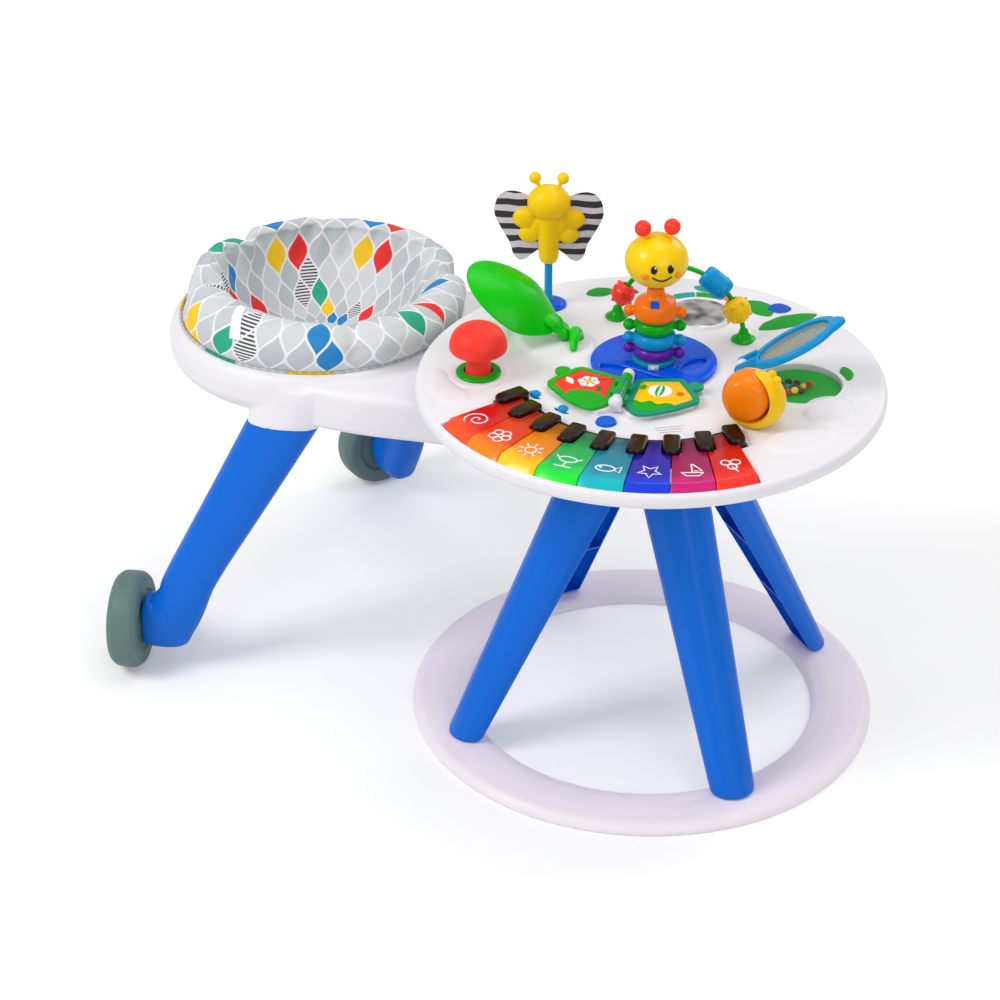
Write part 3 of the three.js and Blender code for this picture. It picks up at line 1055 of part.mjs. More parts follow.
function walkerShell() {
  const bowlSpan = [[0, SEAT.bowlRadius], [armLow, seatRim]];
  const bowl = placed(turned(shared(BOWL_SHARES, ...bowlSpan), SEAT_SEGMENTS), seatAt);
  const arm = solidOf(extruded(armShape(0), armLow, armTop, { bevel: ARM.edge, bevelSegments: 1 }));
  const outer = joined(bowl, arm);
  const bowlHollow = placed(turned(shared(BOWL_HOLLOW_SHARES, ...bowlSpan), 24), seatAt);
  const armHollow = solidOf(extruded(
    armShape(ARM.wall + ARM.edge / 2), armLow - OVERRUN, armTop - ARM.roof));
  const inside = joined(bowlHollow, armHollow);
  const ribs = [];
  for (let x = -ARM.hubRadius; x > -SEAT.distance; x -= ARM.ribPitch) {
    ribs.push(solidOf(slab(ARM.ribWidth, 2 * SEAT.bowlRadius, armLow, armTop - OVERRUN, x)));
  }
  const collar = solidOf(disc(ARM.collarRadius, hubDiscTo + GAP, armTop - OVERRUN, 32));
  const seatTube = placed(disc(ARM.seatWall, armLow, seatLedge - OVERRUN, SEAT_SEGMENTS), seatAt);
  const bossSpan = socketStations(bossLow, armTop - ARM.edge);
  const socketSpan = socketStations(bossLow - OVERRUN, socketTop + GAP);
  const bosses = [-1, 1].map((side) => walkerLegBlank(side, bossSpan, ARM.legBoss));
  const sockets = [-1, 1].map((side) => walkerLegBlank(side, socketSpan, GAP));
  const seatHole = placed(
    disc(SEAT.holeRadius, armLow - OVERRUN, seatRim + OVERRUN, SEAT_SEGMENTS), seatAt);
  const ledge = placed(disc(SEAT.ledgeRadius, seatLedge, seatRim + OVERRUN, SEAT_SEGMENTS), seatAt);
  const hubBore = solidOf(disc(HUB.postRadius + GAP, hubDiscTo - OVERRUN, armTop + OVERRUN, 32));
  const webs = joined(...ribs).intersect(outer);
  return cut(joined(cut(outer, inside), webs, seatTube, ...bosses, collar), ...sockets, seatHole, ledge,
    hubBore);
}
add(walker, "walker_shell", walkerShell(), white);

const stubLength = AXLE.inside;
const WHEEL_SHARES = [
  [0, 0.08], [0.62, 0.08], [0.66, 0], [0.9, 0], [1, 0.22], [1, 0.78], [0.9, 1], [0.66, 1], [0.62, 0.92],
  [0, 0.92],
];
[-1, 1].forEach((side) => {
  const name = side > 0 ? "left" : "right";
  const angle = HALF_TURN - side * WHEEL.halfAngle;
  const inner = WHEEL.track - WHEEL.width / 2;
  const outward = (from, to, radius, segments) => rod(
    polar(from, angle, WHEEL.radius), polar(to, angle, WHEEL.radius), radius, segments);
  const stations = [socketStations(bossLow, socketTop)[0], ...LEG_STATIONS];
  const leg = walkerLegBlank(side, stations);
  const bore = outward(inner - stubLength, inner + OVERRUN, AXLE.radius + GAP, 16);
  add(walker, `walker_leg_${name}`, cut(leg, solidOf(bore)), material(COLOURS.legBlue, 0.4));
  const tyre = turned(shared(WHEEL_SHARES, [0, WHEEL.radius], [-WHEEL.width / 2, WHEEL.width / 2]), 24);
  const hubFace = disc(AXLE.headRadius + AXLE.headHeight, -WHEEL.width / 2, WHEEL.width / 2, 16);
  const wheel = cut(joined(solidOf(tyre), solidOf(hubFace)),
    solidOf(disc(AXLE.radius + GAP, -WHEEL.width, WHEEL.width, 16)));
  const centre = polar(WHEEL.track, angle, WHEEL.radius);
  const wheelGeometry = geometryOf(wheel).rotateY(QUARTER_TURN * DEG).rotateZ(angle * DEG);
  add(walker, `wheel_${name}`, wheelGeometry.translate(centre.x, centre.y, centre.z),
    material(COLOURS.wheelGrey, 0.6));
  const outerFace = WHEEL.track + WHEEL.width / 2;
  const axle = joined(
    solidOf(outward(inner - stubLength + OVERRUN, outerFace + GAP + AXLE.headHeight / 2, AXLE.radius, 16)),
    solidOf(outward(outerFace + GAP, outerFace + GAP + AXLE.headHeight, AXLE.headRadius, 20)));
  add(walker, `wheel_axle_${name}`, axle, material(COLOURS.steel, 0.3, 1));
});

// Swivel ring on the bowl's ledge, and the padded sling seat that it carries.
const RIDER = { inner: 146, skirt: 12, height: 5.6 };
// Both ring and bowl are many-sided, so the ring clears the flats of the bowl's hole as it turns.
const flatShare = Math.cos(Math.PI / SEAT_SEGMENTS);
const skirtRadius = SEAT.holeRadius * flatShare - GAP;
const riderRadius = SEAT.ledgeRadius * flatShare - GAP;
const riderLow = seatLedge + GAP;
const riderTop = riderLow + RIDER.height;
add(walker, "seat_ring", placed(turned([
  [RIDER.inner, riderLow - RIDER.skirt], [skirtRadius, riderLow - RIDER.skirt], [skirtRadius, riderLow],
  [riderRadius, riderLow], [riderRadius, riderTop], [RIDER.inner, riderTop],
], SEAT_SEGMENTS), seatAt), white);

// Seat pad: radius, height share, so that the roll rises higher behind the child than at the table.
const PAD = {
  welt: 3.6, height: 44.7, backRise: 20, lean: 12, drop: 61.3, legHole: 44, legX: 62, legY: 62,
};
const padLow = riderTop + GAP;
const PAD_SHARES = [
  [0.992, 0], [1.01, 0.2], [1.016, 0.48], [0.985, 0.82], [0.9, 1], [0.8, 0.92], [0.725, 0.6], [0.685, 0.1],
];
const SLING_SHARES = [[0.836, -0.3], [0.712, -0.68], [0.48, -1]];
function seatPad() {
  const count = 28;
  const thickness = PAD.welt;
  const ringAt = (radius, height) => Array.from({ length: count },
    (_, i) => polar(radius, (i / count) * 2 * HALF_TURN, height));
  const rise = (point, share) => {
    const toBack = -Math.cos(Math.atan2(point.y, point.x));
    return padLow + PAD.welt + share * (PAD.height - PAD.welt + PAD.backRise * toBack);
  };
  const roll = PAD_SHARES.map(([radius, share]) => ringAt(radius * SEAT.ledgeRadius, 0).map(
    (p) => new THREE.Vector3(p.x + PAD.lean * share, p.y, rise(p, share))));
  const slingInside = SLING_SHARES.map(([radius, share]) => ringAt(
    radius * RIDER.inner, padLow + share * PAD.drop + thickness));
  const slingOutside = [...SLING_SHARES].reverse().map(([radius, share]) => ringAt(
    radius * RIDER.inner + thickness, padLow + share * PAD.drop));
  const seatRadius = RIDER.inner - 4 * GAP;
  const base = [ringAt(seatRadius, padLow - PAD.welt), ringAt(seatRadius, padLow),
    ringAt(SEAT.ledgeRadius - PAD.welt, padLow)];
  const upper = [...slingOutside, ...base, ...roll, ...slingInside];
  const pad = placed(lofted(upper), seatAt);
  const holes = [-1, 1].map((side) => placed(disc(PAD.legHole, padLow - PAD.drop - 2 * OVERRUN, padLow, 24),
    new THREE.Vector3(SEAT_X + PAD.legX, side * PAD.legY, 0)));
  return cut(pad, ...holes);
}
add(walker, "seat_pad", seatPad(), material(COLOURS.fabric, 0.95));

export default root;
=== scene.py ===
import json
from functools import cache
from math import cos, exp, pi, radians, sin, sqrt

import bpy
from bpy.props import FloatProperty, FloatVectorProperty, IntProperty, PointerProperty
from mathutils import Matrix, Vector, noise

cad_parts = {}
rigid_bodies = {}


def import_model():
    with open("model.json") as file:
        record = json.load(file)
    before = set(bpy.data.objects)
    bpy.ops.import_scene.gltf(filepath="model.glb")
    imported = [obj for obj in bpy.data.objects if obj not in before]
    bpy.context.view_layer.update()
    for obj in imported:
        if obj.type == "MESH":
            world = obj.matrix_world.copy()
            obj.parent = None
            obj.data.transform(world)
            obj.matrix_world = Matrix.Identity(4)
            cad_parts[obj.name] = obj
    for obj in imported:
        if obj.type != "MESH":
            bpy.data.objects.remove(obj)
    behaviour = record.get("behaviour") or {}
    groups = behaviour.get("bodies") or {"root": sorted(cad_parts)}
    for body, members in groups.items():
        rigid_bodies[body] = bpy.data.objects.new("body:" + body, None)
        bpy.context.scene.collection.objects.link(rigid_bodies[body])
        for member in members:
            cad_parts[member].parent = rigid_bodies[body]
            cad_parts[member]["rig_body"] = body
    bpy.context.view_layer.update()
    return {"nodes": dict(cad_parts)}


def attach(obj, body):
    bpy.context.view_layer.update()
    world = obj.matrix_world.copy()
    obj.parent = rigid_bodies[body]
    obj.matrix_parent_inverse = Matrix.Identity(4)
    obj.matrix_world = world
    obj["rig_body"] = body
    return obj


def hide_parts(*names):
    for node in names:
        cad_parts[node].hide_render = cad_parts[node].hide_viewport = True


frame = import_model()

bl_info = {
    "name": "Baby activity center",
    "version": (1, 0, 0),
    "blender": (4, 5, 0),
    "location": "View3D > Sidebar > Activity center",
    "description": "Finished surfaces and soft parts around the packed frame",
    "category": "Object",
}

# Sizes below are in millimetres in the table's own layout, unless a name says otherwise.
MM = 0.001
TABLE_TURN = 10.0
TABLE_X = 204.0
SEAT_DISTANCE = 508.0
SEAT_X = TABLE_X - SEAT_DISTANCE
TOP = 484
UNDERSIDE = 463.6
RECESS = 469.5
FIT = 0.35

# Places on the table top.
MUSHROOM = (-200, -78)
BUTTERFLY = (-193, 139.5)
BUTTERFLY_TURN = 19
PLATE = (-8, 34)
TOWER = (-8, 33)
HEAD_TURN = 30
ARCH = (-10.5, 140)
ARCH_RADIUS = 86
ARCH_BASE = 486
BOOK = (-11.5, -72)
BOOK_TURN = 7.8
SNAIL = (155, -66)
SNAIL_TURN = 8
MIRROR = (0, 185)
WINDOW = (178, 50)
PLAY_BUTTON = (-10, -131)
SLIDERS = (("volume_slider", -115, -98, -42), ("mode_slider", -70, -121, -24))
SLIDER_TRAVEL = 5
# Hinges: the pin's place, height and heading, the rest angle, and the block's barrel radius and width.
LEAF_PIN = (-138, 53, 496, 199.4)
LEAF_PITCH, LEAF_BARREL, LEAF_BLOCK = 34.6, 7, 13
MAGNIFIER_PIN = (105, 42, 499, 9)
MAGNIFIER_PITCH, MAGNIFIER_BARREL, MAGNIFIER_BLOCK = 33, 8, 15
# The keyboard is a fan of rays from a point behind the table's middle.
FAN_CENTRE = 98
FAN_HALF = 33.5
FAN_TURN = 2
KEYS = 8
# The camera fitted to the ovals of the table and the floor ring, in metres and radians.
CAMERA_PLACE = (1.6108, -2.5379, 2.0230)
CAMERA_HEADING = radians(29)
CAMERA_YAW, CAMERA_PITCH, CAMERA_ROLL = -0.0649, 0.5352, -0.0027
CAMERA_LENS, CAMERA_SENSOR = 94.58, 36


def linear(colour):
    """An sRGB hex value as a linear colour."""
    channels = [int(colour[i:i + 2], 16) / 255 for i in (0, 2, 4)]
    curve = [c / 12.92 if c <= 0.04045 else ((c + 0.055) / 1.055) ** 2.4 for c in channels]
    return (*curve, 1.0)


class SizeSettings(bpy.types.PropertyGroup):
    """Sizes that a user may change."""
    edge: FloatProperty(
        name="Moulded edge", description="Radius of a moulded edge", default=1.2 * MM, unit="LENGTH")
    fuse: FloatProperty(
        name="Fused voxel", description="Voxel that joins moulded balls and stalks",
        default=0.9 * MM, unit="LENGTH")
    round_steps: IntProperty(
        name="Round steps", description="Steps round a turned piece", default=96, min=24)
    thread: FloatProperty(
        name="Thread spacing", description="Spacing of the seat cloth's threads",
        default=0.9 * MM, unit="LENGTH")
    leaf_width: FloatProperty(
        name="Print width", description="Width of one printed leaf", default=38 * MM, unit="LENGTH")
    leaf_height: FloatProperty(
        name="Print height", description="Height of one printed leaf", default=62 * MM, unit="LENGTH")


def colour_setting(name, value):
    return FloatVectorProperty(name=name, description=name, subtype="COLOR", size=4, min=0, max=1,
                               default=linear(value))


class ColourSettings(bpy.types.PropertyGroup):
    """Main moulded and printed colours."""
    white: colour_setting("White shell", "F0EEF3")
    base: colour_setting("Base ring", "FBF1FA")
    leg: colour_setting("Legs", "006CDC")
    wheel: colour_setting("Wheels", "67807C")
    red: colour_setting("Red", "FF3A2C")
    yellow: colour_setting("Yellow", "FFCC00")
    green: colour_setting("Green", "00AE14")
    cyan: colour_setting("Cyan", "0098D8")
    plate: colour_setting("Plate blue", "0058E4")
    orange: colour_setting("Orange", "FF7C08")
    purple: colour_setting("Purple", "6A1FA8")


def sizes():
    return bpy.context.scene.centre_sizes


def colours():
    return bpy.context.scene.centre_colours


def moved(x, y, z=0.0):
    """A move in millimetres."""
    return Matrix.Translation((x * MM, y * MM, z * MM))


def turned(degrees, axis="Z"):
    """A turn about an axis through the origin."""
    return Matrix.Rotation(radians(degrees), 4, axis)


def to_table():
    """From the table's own layout to the frame."""
    return moved(TABLE_X, 0) @ turned(TABLE_TURN)


def spot(x, y, z=0.0, turn=0.0):
    """A place on the table, with a turn about the vertical."""
    return to_table() @ moved(x, y, z) @ turned(turn)


def seat_spot():
    """The seat's middle in the frame."""
    return moved(SEAT_X, 0)


# Modelling
def clear_selection():
    if bpy.context.object and bpy.context.object.mode == "EDIT":
        bpy.ops.object.mode_set(mode="OBJECT")
    bpy.ops.object.select_all(action="DESELECT")


def only(piece):
    clear_selection()
    piece.select_set(True)
    bpy.context.view_layer.objects.active = piece
    return piece


def named(name, piece=None):
    """Names the active piece, or the given one, and its mesh."""
    piece = piece or bpy.context.object
    piece.name = name
    piece.data.name = name
    return piece


def edit_all(piece):
    """Opens a piece for editing, with all of it selected."""
    only(piece)
    bpy.ops.object.mode_set(mode="EDIT")
    bpy.ops.mesh.select_all(action="SELECT")


def put(piece, matrix):
    """Moves a piece to its place and leaves the place in its mesh."""
    only(piece)
    piece.matrix_world = matrix @ piece.matrix_world
    bpy.ops.object.transform_apply(location=True, rotation=True, scale=True)
    return piece


def chain(name, points):
    """A line drawn by extruding one corner from point to point, left in edit mode."""
    clear_selection()
    bpy.ops.mesh.primitive_plane_add(size=MM)
    piece = named(name)
    edit_all(piece)
    bpy.ops.mesh.merge(type="CENTER")
    bpy.ops.transform.translate(value=points[0])
    for before, after in zip(points, points[1:]):
        bpy.ops.mesh.extrude_vertices_move(TRANSFORM_OT_translate={"value": after - before})
    bpy.ops.mesh.select_all(action="SELECT")
    return piece


def lathe(name, profile, steps=None):
    """A profile of (radius, height) in millimetres, spun about the vertical and closed."""
    piece = chain(name, [Vector((r * MM, 0, z * MM)) for r, z in profile])
    bpy.ops.mesh.spin(steps=steps or sizes().round_steps, angle=2 * pi, center=(0, 0, 0), axis=(0, 0, 1))
    bpy.ops.mesh.select_all(action="SELECT")
    bpy.ops.mesh.remove_doubles(threshold=1e-6)
    bpy.ops.mesh.normals_make_consistent(inside=False)
    bpy.ops.object.mode_set(mode="OBJECT")
    return piece


def plug(name, radius, low, high, steps):
    """A plain round block about the vertical."""
    return lathe(name, [(0, low), (radius, low), (radius, high), (0, high)], steps)


def rounded(points, radius, steps=4, closed=False):
    """A line of 2-D points whose corners are rounded."""
    count = len(points)
    made = []
    for i, point in enumerate(points):
        here = Vector(point)
        if not closed and i in (0, count - 1):
            made.append(here)
            continue
        before = Vector(points[i - 1]) - here
        after = Vector(points[(i + 1) % count]) - here
        reach = min(radius, before.length * 0.49, after.length * 0.49)
        start = here + before.normalized() * reach
        end = here + after.normalized() * reach
        for k in range(steps + 1):
            t = k / steps
            made.append(start * (1 - t) ** 2 + here * 2 * t * (1 - t) + end * t ** 2)
    return [tuple(p) for p in made]


def arc(cx, cy, radius, start, end, steps=16, squash=1.0):
    angles = [radians(start + (end - start) * k / steps) for k in range(steps + 1)]
    return [(cx + radius * cos(a), cy + radius * squash * sin(a)) for a in angles]


def oval(cx, cy, half_x, half_y, steps=32):
    return arc(cx, cy, half_x, 0, 360 - 360 / steps, steps - 1, half_y / half_x)


def modified(piece, kind, **settings):
    """Adds a modifier and applies it."""
    only(piece)
    modifier = piece.modifiers.new(kind.title(), kind)
    for key, value in settings.items():
        setattr(modifier, key, value)
    bpy.ops.object.modifier_apply(modifier=modifier.name)
    return piece


def bevelled(piece, width, steps=3, angle=30):
    return modified(piece, "BEVEL", width=width * MM, segments=steps, limit_method="ANGLE",
                    angle_limit=radians(angle), harden_normals=False)


def quarter(steps):
    """The angles of a quarter turn."""
    return [pi / 2 * k / steps for k in range(steps + 1)]


def offset_outline(points, amount):
    """A counter-clockwise outline moved outward by an amount."""
    count = len(points)
    made = []
    for i in range(count):
        here, before, after = Vector(points[i]), Vector(points[i - 1]), Vector(points[(i + 1) % count])
        first, second = (here - before).normalized(), (after - here).normalized()
        normal = Vector((first.y + second.y, -first.x - second.x)).normalized()
        lean = max(0.4, normal.dot(Vector((first.y, -first.x))))
        made.append(tuple(here + normal * amount / lean))
    return made


def moulded(name, outline, levels):
    """A closed skin through an outline at several levels, each an (offset, height) pair."""
    rows = [[Vector((x, y, z)) * MM for x, y in offset_outline(outline, offset)] for offset, z in levels]
    return grid(name, rows)


def slab(name, outline, low, high, edge=0.0, under=0.0, steps=3):
    """An outline in millimetres, raised from one height to another, with rounded edges."""
    foot, top = [(0, low)], [(0, high)]
    if under:
        foot = [(-under * (1 - sin(a)), low + under * (1 - cos(a))) for a in quarter(steps)]
    if edge:
        top = [(-edge * (1 - cos(a)), high - edge * (1 - sin(a))) for a in quarter(steps)]
    return moulded(name, outline, foot + top)


def mound(name, outline, low, high, spread, steps=8):
    """A raised place whose sides rise in a soft wave."""
    shares = [k / steps for k in range(steps + 1)]
    levels = [(spread, low - 1)] + [
        (spread * (1 - t), low + (high - low) * t * t * (3 - 2 * t)) for t in shares]
    return moulded(name, outline, levels)


def dish(name, outline, floor, top, lip, steps=4):
    """A cutter for a sunk place whose lip is rounded."""
    wall = [(lip * (1 - cos(a)), top - lip + lip * sin(a)) for a in quarter(steps)]
    return moulded(name, outline, [(0, floor), *wall, (lip, top + 3)])


def ball(name, centre, radii, segments=40, rings=24):
    clear_selection()
    bpy.ops.mesh.primitive_uv_sphere_add(segments=segments, ring_count=rings, radius=1)
    piece = named(name)
    return put(piece, Matrix.Translation(Vector(centre) * MM) @ Matrix.Diagonal((*(Vector(radii) * MM), 1)))


def rod(name, start, end, radius, end_radius=None, sides=32):
    """A round bar from one point to another, in millimetres."""
    along = Vector(end) - Vector(start)
    clear_selection()
    bpy.ops.mesh.primitive_cone_add(vertices=sides, radius1=radius * MM, depth=along.length * MM,
                                    radius2=(radius if end_radius is None else end_radius) * MM)
    piece = named(name)
    middle = Matrix.Translation((Vector(start) + Vector(end)) / 2 * MM)
    return put(piece, middle @ along.to_track_quat("Z", "Y").to_matrix().to_4x4())


def grid(name, rows, closed_round=True, ends=True):
    """A skin over rows of points in metres, each row a ring with the same count."""
    around = len(rows[0])
    clear_selection()
    bpy.ops.mesh.primitive_grid_add(x_subdivisions=around if closed_round else around - 1,
                                    y_subdivisions=len(rows) - 1, size=1)
    piece = named(name)
    width = around + 1 if closed_round else around
    for index, vertex in enumerate(piece.data.vertices):
        row, column = divmod(index, width)
        vertex.co = rows[row][column % around]
    edit_all(piece)
    bpy.ops.mesh.remove_doubles(threshold=1e-7)
    if ends and closed_round:
        bpy.ops.mesh.fill_holes(sides=0)
    if closed_round:
        bpy.ops.mesh.select_all(action="SELECT")
        bpy.ops.mesh.normals_make_consistent(inside=False)
    bpy.ops.object.mode_set(mode="OBJECT")
    return piece


def tube(name, points, radius, sides=16, closed=False):
    """A round tube along a line of points in millimetres."""
    rows = []
    count = len(points)
    up = Vector((0, 0, 1))
    for i, point in enumerate(points):
        before = Vector(points[i - 1] if i or closed else points[0])
        after = Vector(points[(i + 1) % count] if i < count - 1 or closed else points[-1])
        along = (after - before).normalized()
        side = along.cross(up) if abs(along.dot(up)) < 0.95 else along.cross(Vector((1, 0, 0)))
        if rows and side.dot(last_side) < 0:
            side.negate()
        side.normalize()
        last_side = side
        over = side.cross(along)
        reach = radius[i] if isinstance(radius, (list, tuple)) else radius
        rows.append([(Vector(point) + reach * (side * cos(a) + over * sin(a))) * MM
                     for a in (2 * pi * k / sides for k in range(sides))])
    if closed:
        rows.append(rows[0])
    return grid(name, rows, ends=not closed)


def joined(name, pieces):
    if len(pieces) == 1:
        only(pieces[0])
        return named(name)
    clear_selection()
    for piece in pieces:
        piece.select_set(True)
    bpy.context.view_layer.objects.active = pieces[0]
    bpy.ops.object.join()
    return named(name)


def boolean(piece, operation, *others):
    for other in others:
        modified(piece, "BOOLEAN", operation=operation, object=other, solver="MANIFOLD")
        bpy.data.objects.remove(other)
    return piece


def fused(name, pieces, voxel=None, rounds=6):
    """Balls, stalks and blocks melted into one moulded skin."""
    piece = joined(name, pieces)
    modified(piece, "REMESH", mode="VOXEL", voxel_size=voxel or sizes().fuse)
    return modified(piece, "SMOOTH", factor=0.5, iterations=rounds)


def refined(name, node, edge, angle=25, steps=2):
    """A merged copy of a rigid node with its flat faces rejoined and its edges rounded."""
    clear_selection()
    source = frame["nodes"][node]
    source.select_set(True)
    bpy.context.view_layer.objects.active = source
    bpy.ops.object.duplicate()
    piece = named(name)
    for key in list(piece.keys()):
        del piece[key]
    piece.parent = None
    piece.data.materials.clear()
    edit_all(piece)
    bpy.ops.mesh.remove_doubles(threshold=5e-6)
    bpy.ops.mesh.dissolve_limited(angle_limit=radians(2))
    bpy.ops.object.mode_set(mode="OBJECT")
    return bevelled(piece, edge, steps, angle) if edge else piece


def dress(piece, finish, body, node=(), smooth=40.0):
    """Gives a piece its material and shading, ties it to its body and hides the nodes it stands for."""
    only(piece)
    piece.data.materials.clear()
    piece.data.materials.append(moulding(finish) if isinstance(finish, str) else finish)
    bpy.ops.object.shade_smooth_by_angle(angle=radians(smooth))
    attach(piece, body)
    if node:
        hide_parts(*([node] if isinstance(node, str) else node))
    return piece


# Materials
def node(tree, kind, inputs=None, **settings):
    """Adds one shader node with its settings and links, and returns its first output."""
    made = tree.nodes.new("ShaderNode" + kind)
    for key, value in settings.items():
        setattr(made, key, value)
    for key, value in (inputs or {}).items():
        if isinstance(value, bpy.types.NodeSocket):
            tree.links.new(value, made.inputs[key])
        else:
            made.inputs[key].default_value = value
    return next(socket for socket in made.outputs if socket.enabled)


def new_material(name):
    """An empty material with its tree, its shader and object coordinates."""
    material = bpy.data.materials.new(name)
    material.use_nodes = True
    tree = material.node_tree
    shader = tree.nodes["Principled BSDF"]
    place = tree.nodes.new("ShaderNodeTexCoord").outputs["Object"]
    return material, tree, shader, place


def set_shader(shader, **values):
    """Sets the shader's sockets, or links them where a value is another node's output."""
    for key, value in values.items():
        socket = shader.inputs[key.replace("_", " ")]
        if isinstance(value, bpy.types.NodeSocket):
            shader.id_data.links.new(value, socket)
        else:
            socket.default_value = value


@cache
def plastic(name, colour, roughness, coat=0.0, grain=0.5, depth=0.03, gloss=0.22):
    """Moulded plastic: a faint skin of flow ripples and a slight drift of tone, under a soft gloss."""
    material, tree, shader, place = new_material(name)
    colour = linear(colour) if isinstance(colour, str) else colour
    drift = node(tree, "TexNoise", {"Vector": place, "Scale": 1 / (60 * MM), "Detail": 2.0})
    dark = tuple(c * 0.94 for c in colour[:3]) + (1.0,)
    tone = node(tree, "Mix", {0: drift, 6: dark, 7: colour}, data_type="RGBA")
    fine = node(tree, "TexNoise", {"Vector": place, "Scale": 1 / (grain * MM), "Detail": 1.0})
    wear = node(tree, "TexNoise", {"Vector": place, "Scale": 1 / (14 * MM), "Detail": 3.0})
    rough = node(tree, "MapRange", {
        "Value": wear, "From Min": 0.3, "From Max": 0.7,
        "To Min": roughness - 0.04, "To Max": roughness + 0.05})
    bump = node(tree, "Bump", {"Height": fine, "Strength": 0.35, "Distance": depth * MM})
    set_shader(shader, Base_Color=tone, Roughness=rough, Normal=bump, IOR=1.5, Specular_IOR_Level=gloss,
               Coat_Weight=coat * 0.4, Coat_Roughness=0.1)
    return material


# The object's plastics by common name: colour as a setting's name or an sRGB value, roughness, clear coat,
# spacing and depth of the skin's grain in millimetres, and gloss.
PLASTICS = {
    # Polypropylene and polyethylene, injection moulded: a satin skin that spreads the light.
    "white_polypropylene": ("white", 0.34),
    "ring_polypropylene": ("base", 0.36),
    "blue_polypropylene": ("leg", 0.34),
    "wheel_polyethylene": ("wheel", 0.42, 0.0, 0.8, 0.06),
    # ABS, moulded in polished steel: a smooth skin with clear highlights.
    "grey_abs": ("9A9CA0", 0.4),
    "blue_abs": ("0064DC", 0.22),
    "cyan_abs": ("cyan", 0.25),
    "green_abs": ("green", 0.22),
    "teal_abs": ("129AB4", 0.28),
    "red_abs": ("red", 0.25, 0.3),
    "yellow_abs": ("yellow", 0.25, 0.2),
    "purple_abs": ("purple", 0.22, 0.3),
    "orange_abs": ("orange", 0.22, 0.3),
    "snail_abs": ("FF8600", 0.24, 0.3),
    "page_green_abs": ("0FB31A", 0.2, 0.3),
    "page_teal_abs": ("0C9B72", 0.2, 0.3),
    # High-gloss ABS, as on piano keys: sharp reflections under a clear skin.
    "brown_abs": ("241008", 0.16, 0.4),
    "plate_abs": ("plate", 0.15, 0.4),
    "head_abs": ("FFD600", 0.22, 0.4),
    "smoke_abs": ("C9D2D8", 0.12, 0.6),
    # Textured ABS: a fine grain that softens the highlights.
    "leaf_abs": ("00CC00", 0.3, 0.2, 1.2),
    "butterfly_abs": ("FFD200", 0.3, 0.0, 0.8),
    "window_abs": ("00B028", 0.5, 0.0, 0.5, 0.03, 0.1),
    # Soft elastomer: dull, with a faint bloom.
    "soft_red_tpe": ("FF3D30", 0.42, 0.0, 0.8),
    # Pad-printed inks: flat colour with little shine.
    "white_ink": ("FFFFFF", 0.4),
    "face_ink": ("241C1A", 0.3),
    "blush_ink": ("FF9A2E", 0.4),
    # Satin ribbon: a close weave with a soft sheen.
    "satin_tape": ("FBFBFD", 0.5, 0.0, 0.6, 0.08),
}


def moulding(name):
    """One of the object's plastics."""
    colour, *skin = PLASTICS[name]
    if hasattr(colours(), colour):
        colour = tuple(getattr(colours(), colour))
    return plastic(name, colour, *skin)


def key_plastic(index, colour):
    """Clear tinted polystyrene, with painted shade and a painted glow: the colour is darkened at the root and
    turns to a brighter glow colour towards the sloping front.
    """
    name = f"tinted_polystyrene_{index}"
    material, tree, shader, place = new_material(name)
    base = linear(colour)
    glow = linear(KEY_PAINTED_GLOWS[index - 1])
    reach = node(tree, "VectorMath", {0: place, 1: (TABLE_X * MM, 0, 0.48)}, operation="DISTANCE")
    cloud = node(tree, "TexNoise", {"Vector": place, "Scale": 1 / (16 * MM), "Detail": 1.0})
    shifted = node(tree, "Math", {0: cloud, 1: 26 * MM, 2: reach}, operation="MULTIPLY_ADD")
    # Painted shade towards the table's middle and a painted glow towards the key's front, by the distance
    # from the middle.
    spread = node(tree, "MapRange", {"Value": shifted, "From Min": 0.196, "From Max": 0.288})
    ramp_out = node(tree, "ValToRGB", {0: spread})
    ramp = ramp_out.node.color_ramp
    ramp.elements[0].color = tuple(c * 0.42 for c in base[:3]) + (1.0,)
    ramp.elements[1].color = glow
    ramp.elements.new(0.32).color = tuple(c * 0.85 for c in base[:3]) + (1.0,)
    ramp.elements.new(0.72).color = base
    ripple = node(tree, "TexNoise", {"Vector": place, "Scale": 1 / (9 * MM), "Detail": 0.0})
    bump = node(tree, "Bump", {"Height": ripple, "Strength": 0.15, "Distance": 0.2 * MM})
    set_shader(shader, Base_Color=ramp_out, Normal=bump, Roughness=0.2, IOR=1.5, Specular_IOR_Level=0.3,
               Coat_Weight=0.12, Coat_Roughness=0.06)
    return material


@cache
def clear_plastic(name, tint="F4FAFA", body=0.15, ridge=0.0):
    """Clear acrylic: mostly seen through, with sharp highlights. A ridge spacing gives it moulded lines, with
    painted shade darkening the bands.
    """
    material, tree, shader, place = new_material(name)
    haze = node(tree, "TexNoise", {"Vector": place, "Scale": 1 / (20 * MM), "Detail": 1.0})
    solid = node(tree, "MapRange", {"Value": haze, "To Min": body * 0.8, "To Max": body * 1.2})
    set_shader(shader, Base_Color=linear(tint), Alpha=solid, Roughness=0.04, IOR=1.5)
    if ridge:
        lines = node(tree, "TexWave", {"Vector": place, "Scale": 0.314 / (ridge * MM)},
                     wave_type="BANDS", bands_direction="DIAGONAL")
        bump = node(tree, "Bump", {"Height": lines, "Strength": 0.8, "Distance": 0.4 * MM})
        # Painted shade: the rib bands are darkened in colour along the same wave as the bump.
        faint = node(tree, "Mix", {
            0: lines, 6: linear("7E8A80"), 7: linear(tint)}, data_type="RGBA")
        set_shader(shader, Base_Color=faint, Normal=bump)
    return material


